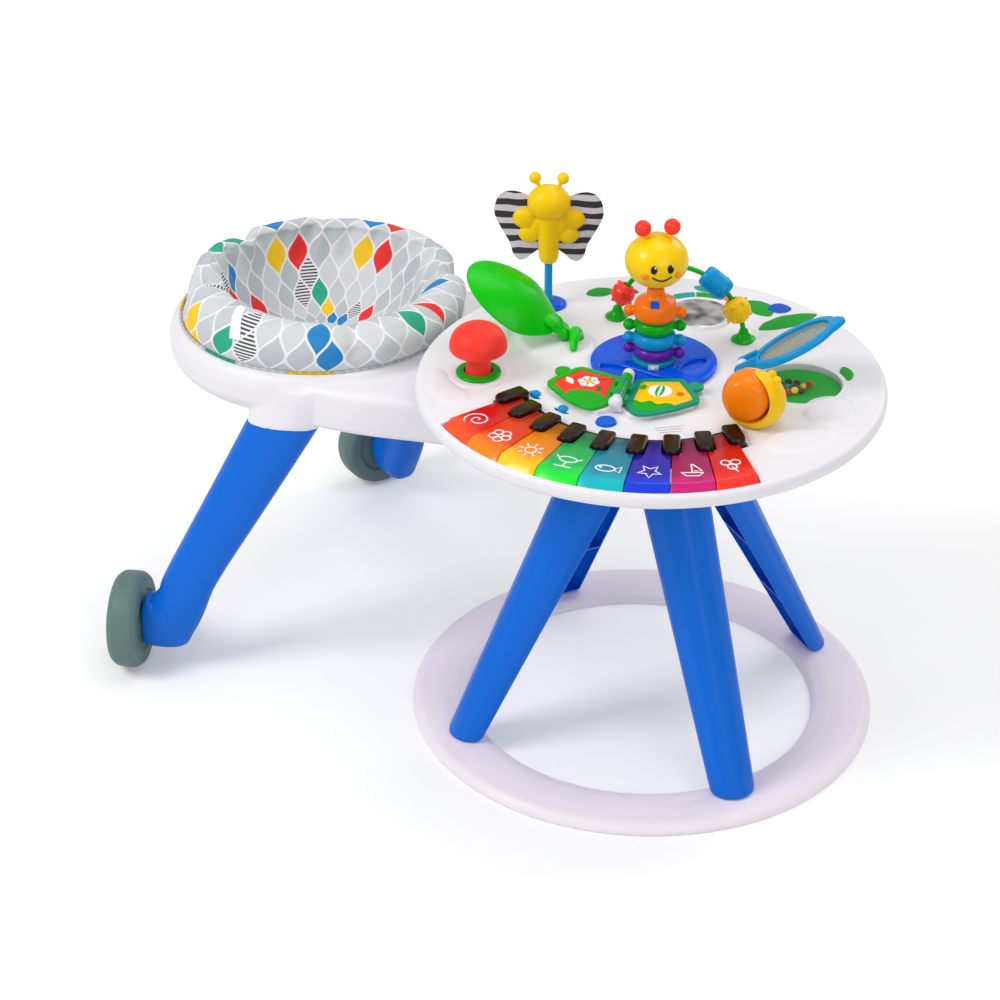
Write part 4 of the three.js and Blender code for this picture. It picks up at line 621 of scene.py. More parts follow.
@cache
def metal(name, colour="B9BDC2", roughness=0.28):
    """Steel rod, drawn and lightly brushed: fine scratches catch the light."""
    material, tree, shader, place = new_material(name)
    fine = node(tree, "TexNoise", {"Vector": place, "Scale": 1 / (0.8 * MM), "Detail": 2.0})
    rough = node(tree, "MapRange", {
        "Value": fine, "To Min": roughness - 0.08, "To Max": roughness + 0.1})
    set_shader(shader, Base_Color=linear(colour), Roughness=rough, Metallic=1.0)
    return material


def silver_film():
    """Silvered acrylic mirror: bright, with a slow ripple that bends what it reflects, and a painted
    reflection of dark brown patches along the same ripple.
    """
    material, tree, shader, place = new_material("silvered_acrylic")
    ripple = node(tree, "TexNoise", {"Vector": place, "Scale": 1 / (26 * MM), "Detail": 1.0})
    bump = node(tree, "Bump", {"Height": ripple, "Strength": 0.5, "Distance": 3 * MM})
    # Painted reflection: the ripple mixes dark brown patches into the mirror's colour.
    painted_reflection_mask = node(tree, "MapRange", {"Value": ripple, "From Min": 0.38, "From Max": 0.62})
    tone = node(tree, "Mix", {0: painted_reflection_mask, 6: linear("6E625C"), 7: linear("F2F0EE")}, data_type="RGBA")
    set_shader(shader, Base_Color=tone, Normal=bump, Metallic=1.0, Roughness=0.05)
    return material


def seat_cloth():
    """Printed polyester poplin: a leaf lattice in greys with bright leaves, over a plain weave."""
    material, tree, shader, place = new_material("printed_poplin")
    across = node(tree, "UVMap", uv_map="print")
    columns, rows = node(tree, "SeparateXYZ", {0: across}).node.outputs[:2]

    def maths(operation, a, b=0.0):
        return node(tree, "Math", {0: a, 1: b}, operation=operation)

    # Two leaf lattices, each half a step from the other, fill the cloth between them.
    def triangle(value):
        return maths("ABSOLUTE", maths("MULTIPLY", maths("SUBTRACT", maths("FRACT", value), 0.5), 2.0))
    swing = maths("COSINE", maths("MULTIPLY", triangle(rows), pi))
    wave = maths("ADD", 0.5, maths("MULTIPLY", swing, 0.5))
    side = maths("SUBTRACT", triangle(columns), wave)
    second = maths("GREATER_THAN", side, 0.0)
    inside = node(tree, "MapRange", {
        "Value": maths("ABSOLUTE", side), "From Min": 0.085, "From Max": 0.125})
    column = maths("FLOOR", maths("ADD", columns, maths("MULTIPLY", second, 0.5)))
    row = maths("FLOOR", maths("ADD", rows, maths("MULTIPLY", second, 0.5)))
    cell = node(tree, "CombineXYZ", {0: column, 1: row, 2: maths("MULTIPLY", second, 7.0)})
    pick = node(tree, "TexWhiteNoise", {"Vector": cell}, noise_dimensions="3D")
    ramp_out = node(tree, "ValToRGB", {0: pick})
    ramp = ramp_out.node.color_ramp
    ramp.interpolation = "CONSTANT"
    stops = [(0.0, "C6CBCE"), (0.24, "D0D5D7"), (0.46, "BCC2C8"), (0.62, "D6DADC"), (0.745, "FFCC00"),
             (0.81, "F01C1C"), (0.87, "00A880"), (0.93, "0082C8")]
    ramp.elements[0].color = linear(stops[0][1])
    ramp.elements[1].position, ramp.elements[1].color = stops[-1][0], linear(stops[-1][1])
    for position, value in stops[1:-1]:
        ramp.elements.new(position).color = linear(value)
    # A few leaves are striped, and the grey ones fade a little from side to side.
    stripe = maths("GREATER_THAN", maths("SINE", maths("MULTIPLY", rows, 2 * pi * 13)), 0.0)
    striped = maths("MULTIPLY", maths("GREATER_THAN", pick, 0.708), maths("LESS_THAN", pick, 0.745))
    lines = node(tree, "Mix", {
        0: stripe, 6: linear("EDEDEF"), 7: linear("3A3A40")}, data_type="RGBA")
    leaf = node(tree, "Mix", {0: striped, 6: ramp_out, 7: lines}, data_type="RGBA")
    printed = node(tree, "Mix", {0: inside, 6: linear("EEEEF2"), 7: leaf}, data_type="RGBA")
    haze = node(tree, "TexNoise", {"Vector": place, "Scale": 1 / (18 * MM), "Detail": 3.0})
    tone = node(tree, "Mix", {
        0: maths("MULTIPLY", haze, 0.05), 6: printed, 7: linear("F6F7F8")}, data_type="RGBA")
    # The weave's crossings are drawn at twice the thread spacing, as coarse as they need to show.
    spacing = sizes().thread * 2
    warp = maths("SINE", maths("MULTIPLY", columns, 2 * pi * sizes().leaf_width / spacing))
    weft = maths("SINE", maths("MULTIPLY", rows, 2 * pi * sizes().leaf_height / spacing))
    crinkle = node(tree, "TexNoise", {"Vector": place, "Scale": 1 / (7 * MM), "Detail": 4.0})
    weave = maths("ADD", maths("MULTIPLY", maths("MULTIPLY", warp, weft), 0.08), crinkle)
    bump = node(tree, "Bump", {"Height": weave, "Strength": 0.6, "Distance": 2 * MM})
    set_shader(shader, Base_Color=tone, Normal=bump, Roughness=0.78, Specular_IOR_Level=0.25,
               Sheen_Weight=0.1, Sheen_Roughness=0.4)
    return material


def striped_cloth():
    """Crinkle nylon for the wings: black and pale bands with a fine rib."""
    material, tree, shader, place = new_material("striped_nylon")
    upward = node(tree, "SeparateXYZ", {0: place}).node.outputs[2]
    wobble = node(tree, "TexNoise", {"Vector": place, "Scale": 1 / (30 * MM), "Detail": 1.0})
    height = node(tree, "Math", {0: wobble, 1: 7 * MM, 2: upward}, operation="MULTIPLY_ADD")
    band = node(tree, "Math", {0: height, 1: 2 * pi / (17 * MM)}, operation="MULTIPLY")
    wave = node(tree, "Math", {0: band}, operation="SINE")
    edge = node(tree, "MapRange", {"Value": wave, "From Min": -0.05, "From Max": 0.05})
    tone = node(tree, "Mix", {0: edge, 6: linear("D2CCD8"), 7: linear("2A2326")}, data_type="RGBA")
    rib = node(tree, "TexNoise", {"Vector": place, "Scale": 1 / (1.5 * MM), "Detail": 2.0})
    bump = node(tree, "Bump", {"Height": rib, "Strength": 0.6, "Distance": 0.4 * MM})
    set_shader(shader, Base_Color=tone, Normal=bump, Roughness=0.7, Sheen_Weight=0.2)
    return material


KEY_COLOURS = ["E01414", "EE3E10", "F58A10", "10B860", "0A8CA8", "2418B4", "A80E5C", "E01818"]
# Painted glow: a brighter colour painted into the front of each key.
KEY_PAINTED_GLOWS = ["FF5A28", "FF8A18", "FFD21E", "22F03A", "14C0C8", "1440E0", "D8207C", "FF3A2C"]


def body_of(name):
    return frame["nodes"][name]["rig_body"]


def carried(name, finish, edge=1.0, slot=None, **settings):
    """A refined copy of a node, dressed and tied to the node's own body."""
    piece = refined(f"{name}_shape", name, edge, **settings)
    return dress(piece, finish, body_of(name), name)


# Groups of pieces
class CENTRE_OT_stage(bpy.types.Operator):
    """Adds the floor, the lights and the photograph's camera"""
    bl_idname = "centre.stage"
    bl_label = "Stage"

    def execute(self, context):
        scene = context.scene
        camera = bpy.data.objects.new("camera", bpy.data.cameras.new("camera"))
        scene.collection.objects.link(camera)
        turn = Matrix.Rotation(CAMERA_HEADING, 4, "Z")
        yaw, pitch, roll = CAMERA_YAW, CAMERA_PITCH, CAMERA_ROLL
        forward = Vector((sin(yaw) * cos(pitch), cos(yaw) * cos(pitch), -sin(pitch)))
        right = Vector((cos(yaw), -sin(yaw), 0))
        up = right.cross(forward)
        level = cos(roll) * right + sin(roll) * up
        top = -sin(roll) * right + cos(roll) * up
        axes = Matrix((level, top, -forward)).transposed().to_4x4()
        camera.matrix_world = Matrix.Translation(CAMERA_PLACE) @ turn @ axes
        camera.data.lens = CAMERA_LENS
        camera.data.sensor_width = CAMERA_SENSOR
        camera.data.clip_end = 50
        scene.camera = camera

        bpy.ops.mesh.primitive_plane_add(size=30)
        floor = named("floor")
        floor.data.materials.append(floor_paper())

        # Each lamp's place, aim, size in metres and power in watts.
        lamps = [("key_light", (-1.6, -2.2, 2.9), (0.1, 0, 0.35), 1.4, 57),
                 ("fill_light", (2.6, -1.6, 1.9), (0.1, 0, 0.3), 1.8, 20),
                 ("top_light", (0.2, 0.6, 3.2), (0, 0, 0.4), 1.6, 17),
                 ("back_light", (0.6, 2.8, 2.0), (0, 0, 0.3), 1.6, 16)]
        for name, place, target, size, power in lamps:
            lamp = bpy.data.objects.new(name, bpy.data.lights.new(name, "AREA"))
            scene.collection.objects.link(lamp)
            lamp.location = place
            lamp.rotation_euler = (Vector(target) - Vector(place)).to_track_quat("-Z", "Y").to_euler()
            lamp.data.size = size
            lamp.data.energy = power
        world = bpy.data.worlds.new("sky")
        scene.world = world
        world.use_nodes = True
        tree = world.node_tree
        path = tree.nodes.new("ShaderNodeLightPath")
        seen = node(tree, "Math", operation="MAXIMUM", inputs={
            0: path.outputs["Is Camera Ray"], 1: path.outputs["Is Transmission Ray"]})
        strength = node(tree, "MapRange", {"Value": seen, "To Min": 0.5, "To Max": 1.0})
        tree.links.new(strength, tree.nodes["Background"].inputs["Strength"])
        tree.nodes["Background"].inputs["Color"].default_value = (1, 1, 1, 1)
        scene.view_settings.view_transform = "Standard"
        return {"FINISHED"}


def floor_paper():
    """Seamless white paper: it fades to pure white and keeps the object's shadow."""
    material, tree, shader, place = new_material("seamless_paper")
    grain = node(tree, "TexNoise", {"Vector": place, "Scale": 1 / (1.5 * MM)})
    dark, pale = (0.90, 0.90, 0.90, 1), (0.93, 0.93, 0.93, 1)
    tone = node(tree, "Mix", {0: grain, 6: dark, 7: pale}, data_type="RGBA")
    set_shader(shader, Base_Color=tone, Roughness=0.9, Specular_IOR_Level=0.1)
    path = tree.nodes.new("ShaderNodeLightPath")
    # Far from the object the paper is lit from behind, so it stays white up to the horizon.
    away = node(tree, "VectorMath", {0: place}, operation="LENGTH")
    strength = node(tree, "MapRange", {
        "Value": away, "From Min": 1.0, "From Max": 4.5, "To Min": 0.16, "To Max": 0.95})
    glow = node(tree, "Emission", {"Color": (1, 1, 1, 1), "Strength": strength})
    both = node(tree, "AddShader", {0: shader.outputs[0], 1: glow})
    mixed = node(tree, "MixShader", {
        0: path.outputs["Is Camera Ray"], 1: shader.outputs[0], 2: both})
    tree.links.new(mixed, tree.nodes["Material Output"].inputs["Surface"])
    return material


# Table
LEG_FOOT, LEG_RISE, LEG_TOP = 18.35, 331.65, 365.1
LEG_WALL = 4
POCKETS, POCKETS_LOW, POCKETS_HIGH = 3, 22.35, 326
POCKET_REACH = 3
RIB = 4
LEG_TURNS = [47 + 90 * k for k in range(4)]
# Half a leg's section runs from its inner to its outer side, in shares of its depth and width.
LEG_SECTION = [(-0.5, -0.48), (-0.15, -0.5), (0.28, -0.36), (0.5, -0.12),
               (0.5, 0.12), (0.28, 0.36), (-0.15, 0.5), (-0.5, 0.48)]


def leg_row(height, inset=0.0, reach=0.0):
    """One level section of a table leg, wider and closer to the middle towards the top."""
    share = (height - LEG_FOOT) / LEG_RISE
    width, depth = 60 + share * 28 - 2 * inset, 33 + share * 25
    centre = 262 - 170 * share
    outer, inner = centre + depth / 2 - inset, centre - depth / 2 - reach
    corners = [(inner + (r + 0.5) * (outer - inner), t * width) for r, t in LEG_SECTION]
    soft = rounded(corners, 5, 4, closed=True)
    return [Vector((x, y, height)) * MM for x, y in soft]


def table_leg(name, turn):
    """A tapered leg with a row of pockets in its inner side, cut away round the hub's post."""
    straight = 10
    foot = [LEG_FOOT + 0.05, LEG_FOOT + 1.25, LEG_FOOT + 4.05]
    heights = foot + [foot[-1] + (LEG_TOP - foot[-1]) * k / straight for k in range(1, straight + 1)]
    insets = [4.0, 1.2] + [0.0] * (straight + 1)
    body = grid(name, [leg_row(height, inset, -inset) for height, inset in zip(heights, insets)])
    pitch = (POCKETS_HIGH - POCKETS_LOW) / POCKETS
    pockets = []
    for k in range(POCKETS):
        low = POCKETS_LOW + k * pitch
        high = low + pitch - RIB
        rows = [leg_row(height, LEG_WALL, POCKET_REACH) for height in (low, (low + high) / 2, high)]
        pockets.append(grid("pocket", rows))
    boolean(body, "DIFFERENCE", plug("post_room", 60, 340, 380, 96), *pockets)
    bevelled(body, 1.1, 2, 50)
    return put(body, to_table() @ turned(turn))


def fan_point(ray, radius):
    """Where a ray of the keyboard's fan meets a circle about the table's centre."""
    c, s = cos(radians(ray)), sin(radians(ray))
    drop = FAN_CENTRE * s
    reach = sqrt(drop * drop - FAN_CENTRE * FAN_CENTRE + radius * radius) - drop
    return reach * c, FAN_CENTRE + reach * s


def fan_outline(start, end, inner, outer, steps=24):
    rays = [start + (end - start) * k / steps for k in range(steps + 1)]
    return [fan_point(ray, outer) for ray in rays] + [fan_point(ray, inner) for ray in reversed(rays)]


def on_pin(x, y, axis, heading):
    """A hinge pin's place in the table's own layout."""
    return moved(x, y, axis) @ turned(heading)


def hinge_block(x, y, axis, heading, barrel, width):
    """The white block that a flap's pin runs through."""
    half = width / 2
    edge = sizes().edge / MM
    side = [(-barrel, -14), (barrel, -14)] + arc(0, 0, barrel, 0, 180, 16)
    block = put(slab("block", side, -half, half, edge, edge), turned(90, "X"))
    return put(block, on_pin(x, y, axis, heading))


def placed_outline(points, x, y, turn=0.0):
    c, s = cos(radians(turn)), sin(radians(turn))
    return [(x + c * px - s * py, y + s * px + c * py) for px, py in points]


def slot_outline(half, radius, steps=8):
    """A long hole with round ends."""
    return arc(half, 0, radius, -90, 90, steps) + arc(-half, 0, radius, 90, 270, steps)


def table_top():
    """The moulded top: a round slab, its raised pads and hinge blocks, and the places sunk into it."""
    rim = rounded([(271.6, 464), (294, 464), (294, TOP), (250, TOP)], 9.5, 8)
    body = lathe("table_top_shape", [(0, 472), (271.6, 472)] + rim + [(0, TOP)], 180)
    edit_all(body)
    bpy.ops.mesh.dissolve_limited(angle_limit=radians(0.4))
    bpy.ops.object.mode_set(mode="OBJECT")
    pads = [mound("pad", oval(*MUSHROOM, 36, 36, 64), TOP, TOP + 3, 2.2),
            mound("pad", oval(*WINDOW, 57.5, 57.5, 72), TOP, TOP + 3, 4),
            mound("pad", oval(*MIRROR, 43.5, 43.5, 64), TOP, TOP + 4, 4),
            hinge_block(*LEAF_PIN, LEAF_BARREL, LEAF_BLOCK),
            hinge_block(*MAGNIFIER_PIN, MAGNIFIER_BARREL, MAGNIFIER_BLOCK)]
    # Each sunk place: its outline, floor, upper edge and the radius of its lip.
    round_places = [(WINDOW, 52.35, 72, 476, TOP + 3, 1.4), (MIRROR, 40.35, 64, 485, TOP + 4, 0.8),
                    (MUSHROOM, 17.9, 40, 474, TOP + 3, 0.5), (PLAY_BUTTON, 12.9, 40, 478, TOP, 0.5)]
    holes = [dish("hole", oval(*place, radius, radius, steps), floor, upper, lip)
             for place, radius, steps, floor, upper, lip in round_places]
    holes += [dish("hole", placed_outline(slot_outline(SLIDER_TRAVEL, 6.9), *place), 480, TOP, 0.4)
              for _, *place in SLIDERS]
    for half, inner, outer in ((33.75, 170, 286.2), (35.9, 162.7, 206.5)):
        fan = placed_outline(fan_outline(-90 - half, -90 + half, inner, outer), 0, 0, FAN_TURN)
        holes.append(dish("hole", rounded(fan, 2.5, 4, closed=True), RECESS, TOP, 1.0))
    # Three bent slits let the sound out.
    for k in range(3):
        bend = [(x, y + 0.006 * x * x) for x, y in slot_outline(18 - 2 * k, 1.0, 5)]
        slit = placed_outline(bend, 68 + 2.5 * (k - 1), -119 - 5 * (k - 1), 34)
        holes.append(dish("hole", slit, 478, TOP, 0.2))
    boolean(body, "UNION", *pads)
    boolean(body, "DIFFERENCE", *holes)
    return put(body, to_table())


def relief():
    """Soft shapes moulded into the white top: a leaf bed, the book's deck and low waves round the rim."""
    petal = [(-196, 64), (-186, 30), (-158, 4), (-122, -6), (-96, 10), (-90, 34), (-104, 60),
             (-128, 82), (-160, 98), (-186, 92)]
    deck = [(-124, -58), (-104, -96), (-60, -116), (-8, -118), (40, -104), (92, -66), (100, -38),
            (66, -14), (8, -26), (-60, -22), (-104, -30)]
    # Each shape: its corners, how round they are, in how many steps, and its height.
    shapes = [
        (petal, 26, 7, 3.4),
        (deck, 20, 6, 1.6),
        ([(208, -26), (250, -36), (262, -6), (240, 34), (212, 20)], 22, 6, 3.4),
        ([(196, -120), (232, -100), (240, -70), (214, -60), (184, -92)], 16, 6, 2.6),
        ([(214, -96), (238, -104), (250, -76), (246, -46), (226, -58)], 14, 6, 2.4),
        ([(-248, 20), (-226, -16), (-206, 6), (-214, 50), (-236, 66)], 16, 6, 3.2),
        ([(-110, 152), (-70, 128), (-44, 150), (-64, 196), (-104, 190)], 18, 6, 2.8),
        ([(88, 128), (150, 124), (186, 150), (160, 186), (108, 180)], 20, 6, 2.8),
        ([(-256, -84), (-244, -128), (-208, -158), (-188, -142), (-216, -120)], 12, 6, 2.2)]
    for index, (corners, soft, steps, height) in enumerate(shapes):
        outline = rounded(corners, soft, steps, closed=True)
        piece = put(mound(f"relief_{index}", outline, TOP, TOP + height, 11), to_table())
        dress(piece, "white_polypropylene", "table")


class CENTRE_OT_table(bpy.types.Operator):
    """Builds the base ring, the legs, the hub and the moulded top"""
    bl_idname = "centre.table"
    bl_label = "Table"

    def execute(self, context):
        section = rounded([(226, 0), (305, 0), (305, 7), (297, 15), (268, 18), (247, 17), (231, 12),
                           (226, 4)], 5, 6, closed=True)
        base = put(lathe("base_ring_shape", section + section[:1], 160), to_table())
        dress(base, "ring_polypropylene", "table", "base_ring")
        names = ("leg_back_right", "leg_back_left", "leg_front_left", "leg_front_right")
        for name, turn in zip(names, LEG_TURNS):
            dress(table_leg(f"{name}_shape", turn), "blue_polypropylene", "table", name)
        white = "white_polypropylene"
        dress(table_top(), white, "table", "table_top", smooth=35)
        relief()
        dress(self.hub(), white, "table", "hub")
        sector = rounded(arc(0, 0, 250, -116, -64, 20) + arc(0, 0, 180, -64, -116, 20), 10, 4, closed=True)
        # The skin stays half a millimetre inside the outline.
        soft = 9
        under = [(-soft * (1 - sin(a)) - 0.5, 439.8 + soft * (1 - cos(a))) for a in quarter(6)]
        box = put(moulded("sound_box_shape", sector, under + [(-0.5, UNDERSIDE)]), to_table())
        dress(box, white, "table", "sound_box")
        cover = rounded(arc(0, 0, 234, -110, -70, 20) + arc(0, 0, 188, -70, -110, 20), 5, 4, closed=True)
        door = put(slab("battery_door_shape", cover, 438.6, 439.7, 0.0, 0.6), to_table())
        dress(door, "grey_abs", "table", "battery_door")
        return {"FINISHED"}

    def hub(self):
        """The disc, post and flange that the walker's arm turns on, with a socket for each leg."""
        drum = rounded([(0, 350.35), (97, 350.35), (97, 365.2), (58, 365.2), (58, 435), (76, 435),
                        (76, UNDERSIDE), (0, UNDERSIDE)], 1.2, 3)
        hub = lathe("hub_shape", drum, 120)
        for turn in LEG_TURNS:
            socket = grid("socket", [leg_row(height, -FIT, FIT) for height in (345, 358, 371)])
            boolean(hub, "DIFFERENCE", put(socket, turned(turn)))
        return put(hub, to_table())


# Keyboard
def stroke(points, radius=0.95, closed=False):
    return tube("stroke", [(1.22 * x, 1.22 * y, 0) for x, y in points], radius, 8, closed)


def key_drawing(index):
    """A white line drawing for each key, in millimetres about the key's middle."""
    def around(count):
        return [2 * pi * k / count for k in range(count)]

    def polar(radius, angle):
        return radius * cos(angle), radius * sin(angle)

    spiral = [polar(1 + 0.62 * k, 0.5 * k) for k in range(22)]
    points = [(12 if k % 2 else 5.4, pi * k / 5) for k in range(10)]
    star = [(radius * sin(a), radius * cos(a)) for radius, a in points]
    # Each drawing's closed lines, and then its open ones.
    drawings = [
        # spiral
        ([], [spiral]),
        # flower
        ([oval(*polar(7, a), 4.6, 4.6, 20) for a in around(5)], []),
        # sun
        ([oval(0, 0, 5.6, 5.6, 28)], [[polar(8, a), polar(13, a)] for a in around(8)]),
        # bowl on a stand
        ([oval(0, 3.4, 9, 5, 28)],
         [[(0, -12), (0, -2)], [(-9, -11), (9, -11)], [(-9, 3.4), (-13, 8)], [(9, 3.4), (13, 8)]]),
        # fish
        ([oval(-2, 0, 9.5, 5.6, 28), [(7, 1), (13, 6), (13, -6), (7, -1)], oval(-7, 1.4, 0.9, 0.9, 10)], []),
        # star
        ([star], []),
        # sail boat
        ([[(-11, -4), (11, -4), (6, -10), (-6, -10)]],
         [[(0, -4), (0, 12)], [(1.5, 12), (10, -1), (1.5, -1)]]),
        # clover
        ([oval(5.6 * cos(a), 3 + 5.6 * sin(a), 4.6, 4.6, 20) for a in (0.52, 2.62, 4.71)],
         [[(0, -3), (4, -13)]])]
    loops, lines = drawings[index]
    return [stroke(line, closed=True) for line in loops] + [stroke(line) for line in lines]


def dark_keys():
    """Nine raised round-ended keys on one curved strip."""
    foot, root, wide, narrow = RECESS + FIT, 163.4, 10.5, 6
    parts = []
    for k in range(KEYS + 1):
        ray = -90 - FAN_HALF + 2 * FAN_HALF * k / KEYS
        start, end = Vector(fan_point(ray, root)), Vector(fan_point(ray, 172))
        length = (end - start).length + 34
        outline = rounded([(0, -wide), (length - 9, -wide), (length, -narrow), (length, narrow),
                           (length - 9, wide), (0, wide)], 5, 5, closed=True)
        key = slab("dark_key", outline, foot, 494, 2.4)
        parts.append(put(key, moved(*start) @ turned(ray)))
    strip = slab("black_keys_shape", fan_outline(-124.6, -55.4, root, 171.2, 48), foot, 486, 0.8)
    boolean(strip, "UNION", *parts)
    return put(strip, to_table() @ turned(FAN_TURN))


class CENTRE_OT_keyboard(bpy.types.Operator):
    """Builds the coloured keys with their drawings, the dark keys and the switches"""
    bl_idname = "centre.keyboard"
    bl_label = "Keyboard"

    def execute(self, context):
        for index, colour in enumerate(KEY_COLOURS):
            name = f"key_{index + 1}"
            carried(name, key_plastic(index + 1, colour), 1.3, name, steps=3)
            drawing = joined(f"drawing_{index + 1}", key_drawing(index))
            ray = -90 - FAN_HALF + 2 * FAN_HALF * (index + 0.5) / KEYS
            x, y = fan_point(ray, 245)
            flat = Matrix.Diagonal((1, 1, 0.5, 1))
            put(drawing, to_table() @ turned(FAN_TURN) @ moved(x, y, 489.05) @ turned(ray + 90) @ flat)
            dress(drawing, "white_ink", name)
        dress(dark_keys(), "brown_abs", "table", "black_keys", smooth=35)
        crown = [(12.5 - 3 * (1 - cos(a)), 485 + 3 * sin(a)) for a in quarter(6)]
        profile = [(0, 480.85), (12.5, 480.85), *crown, (5, 487.6), (0, 487.4)]
        play = put(lathe("play_button_shape", profile, 64), spot(*PLAY_BUTTON))
        dress(play, "blue_abs", "play_button", "play_button")
        self.sliders()
        return {"FINISHED"}

    def sliders(self):
        """Two domed knobs, each over a thin cyan liner in its slot."""
        crown = [(6.2 - 2.4 * (1 - cos(a)), 485.6 + 2.9 * sin(a)) for a in quarter(5)]
        dome = [(0, 480.35), (6.5, 480.35), (6.5, 483.5), *crown, (0, 488.45)]
        for name, x, y, turn in SLIDERS:
            knob = put(lathe(f"{name}_shape", dome, 40), spot(x, y, 0, turn))
            dress(knob, "cyan_abs", name, name)
            slot = placed_outline(slot_outline(SLIDER_TRAVEL, 6.7), x, y, turn)
            liner = put(slab(f"{name}_liner", slot, 480.02, 480.27), to_table())
            dress(liner, "cyan_abs", "table")


# Press toy, leaf and butterfly
WING_SPAN, WING_LOW, WING_HEIGHT = 70, 549, 98


def hinged(x, y, axis, heading, pitch):
    """A flap's own frame: +X along it from its pin, +Z out of its upper face."""
    return spot(x, y, axis, heading) @ turned(-pitch, "Y")


def cheeks(barrel, cheek, block, reach):
    """The two ears of a flap, outside its hinge block, with the pin between them."""
    inner = block / 2 + FIT
    side = [(reach, -barrel / 2), (reach, barrel)] + arc(0, 0, barrel, 90, 330, 18)
    parts = []
    for sign in (-1, 1):
        ear = slab("ear", side, -cheek / 2, cheek / 2, 0.9, 0.9)
        parts.append(put(ear, moved(0, sign * (inner + cheek / 2)) @ turned(90, "X")))
    parts.append(rod("pin", (0, -inner - cheek / 2, 0), (0, inner + cheek / 2, 0), 2.5))
    return parts


def leaf_blade():
    """A crowned leaf with a middle vein, thickest along its middle and thick enough to be moulded."""
    rows = []
    across, along = 24, 44
    widest, half_width, crown_height = 0.42, 50.5, 21
    for k in range(along + 1):
        share = sin(pi / 2 * min(0.997, k / along))
        out = (share - widest) / (1 - widest)
        if out > 0:
            width = half_width * sqrt(1 - out * out)
        else:
            width = half_width * (0.3 + 0.7 * sin(pi / 2 * share / widest))
        crown = crown_height * width / 49.6 * sin(pi * (0.12 + 0.8 * share))
        upper, lower = [], []
        for i in range(across + 1):
            s = -cos(pi * i / across)
            lift = crown * (1 - s * s)
            vein = -0.5 * exp(-(s * width / 1.8) ** 2) * min(1, 5 * (1 - share))
            swell = 0.5 + 2.2 * sqrt(max(0.0, 1 - s * s)) * min(1.0, 6 * (1.02 - share))
            x = 12 + share * 135.7
            upper.append(Vector((x, s * width, lift + swell + vein)) * MM)
            lower.append(Vector((x, s * width, lift - swell)) * MM)
        rows.append(upper + lower[::-1])
    blade = grid("blade", rows)
    modified(blade, "SUBSURF", levels=1, render_levels=1)
    return put(blade, turned(-20, "X"))


def smooth_line(points, steps=8):
    """A soft curve through points of any dimension."""
    made = []
    ends = [points[0]] + list(points) + [points[-1]]
    for a, b, c, d in zip(ends, ends[1:], ends[2:], ends[3:]):
        a, b, c, d = Vector(a), Vector(b), Vector(c), Vector(d)
        for k in range(steps):
            t = k / steps
            made.append(tuple(0.5 * (2 * b + (c - a) * t + (2 * a - 5 * b + 4 * c - d) * t ** 2
                                     + (3 * b - a - 3 * c + d) * t ** 3)))
    return made + [tuple(points[-1])]


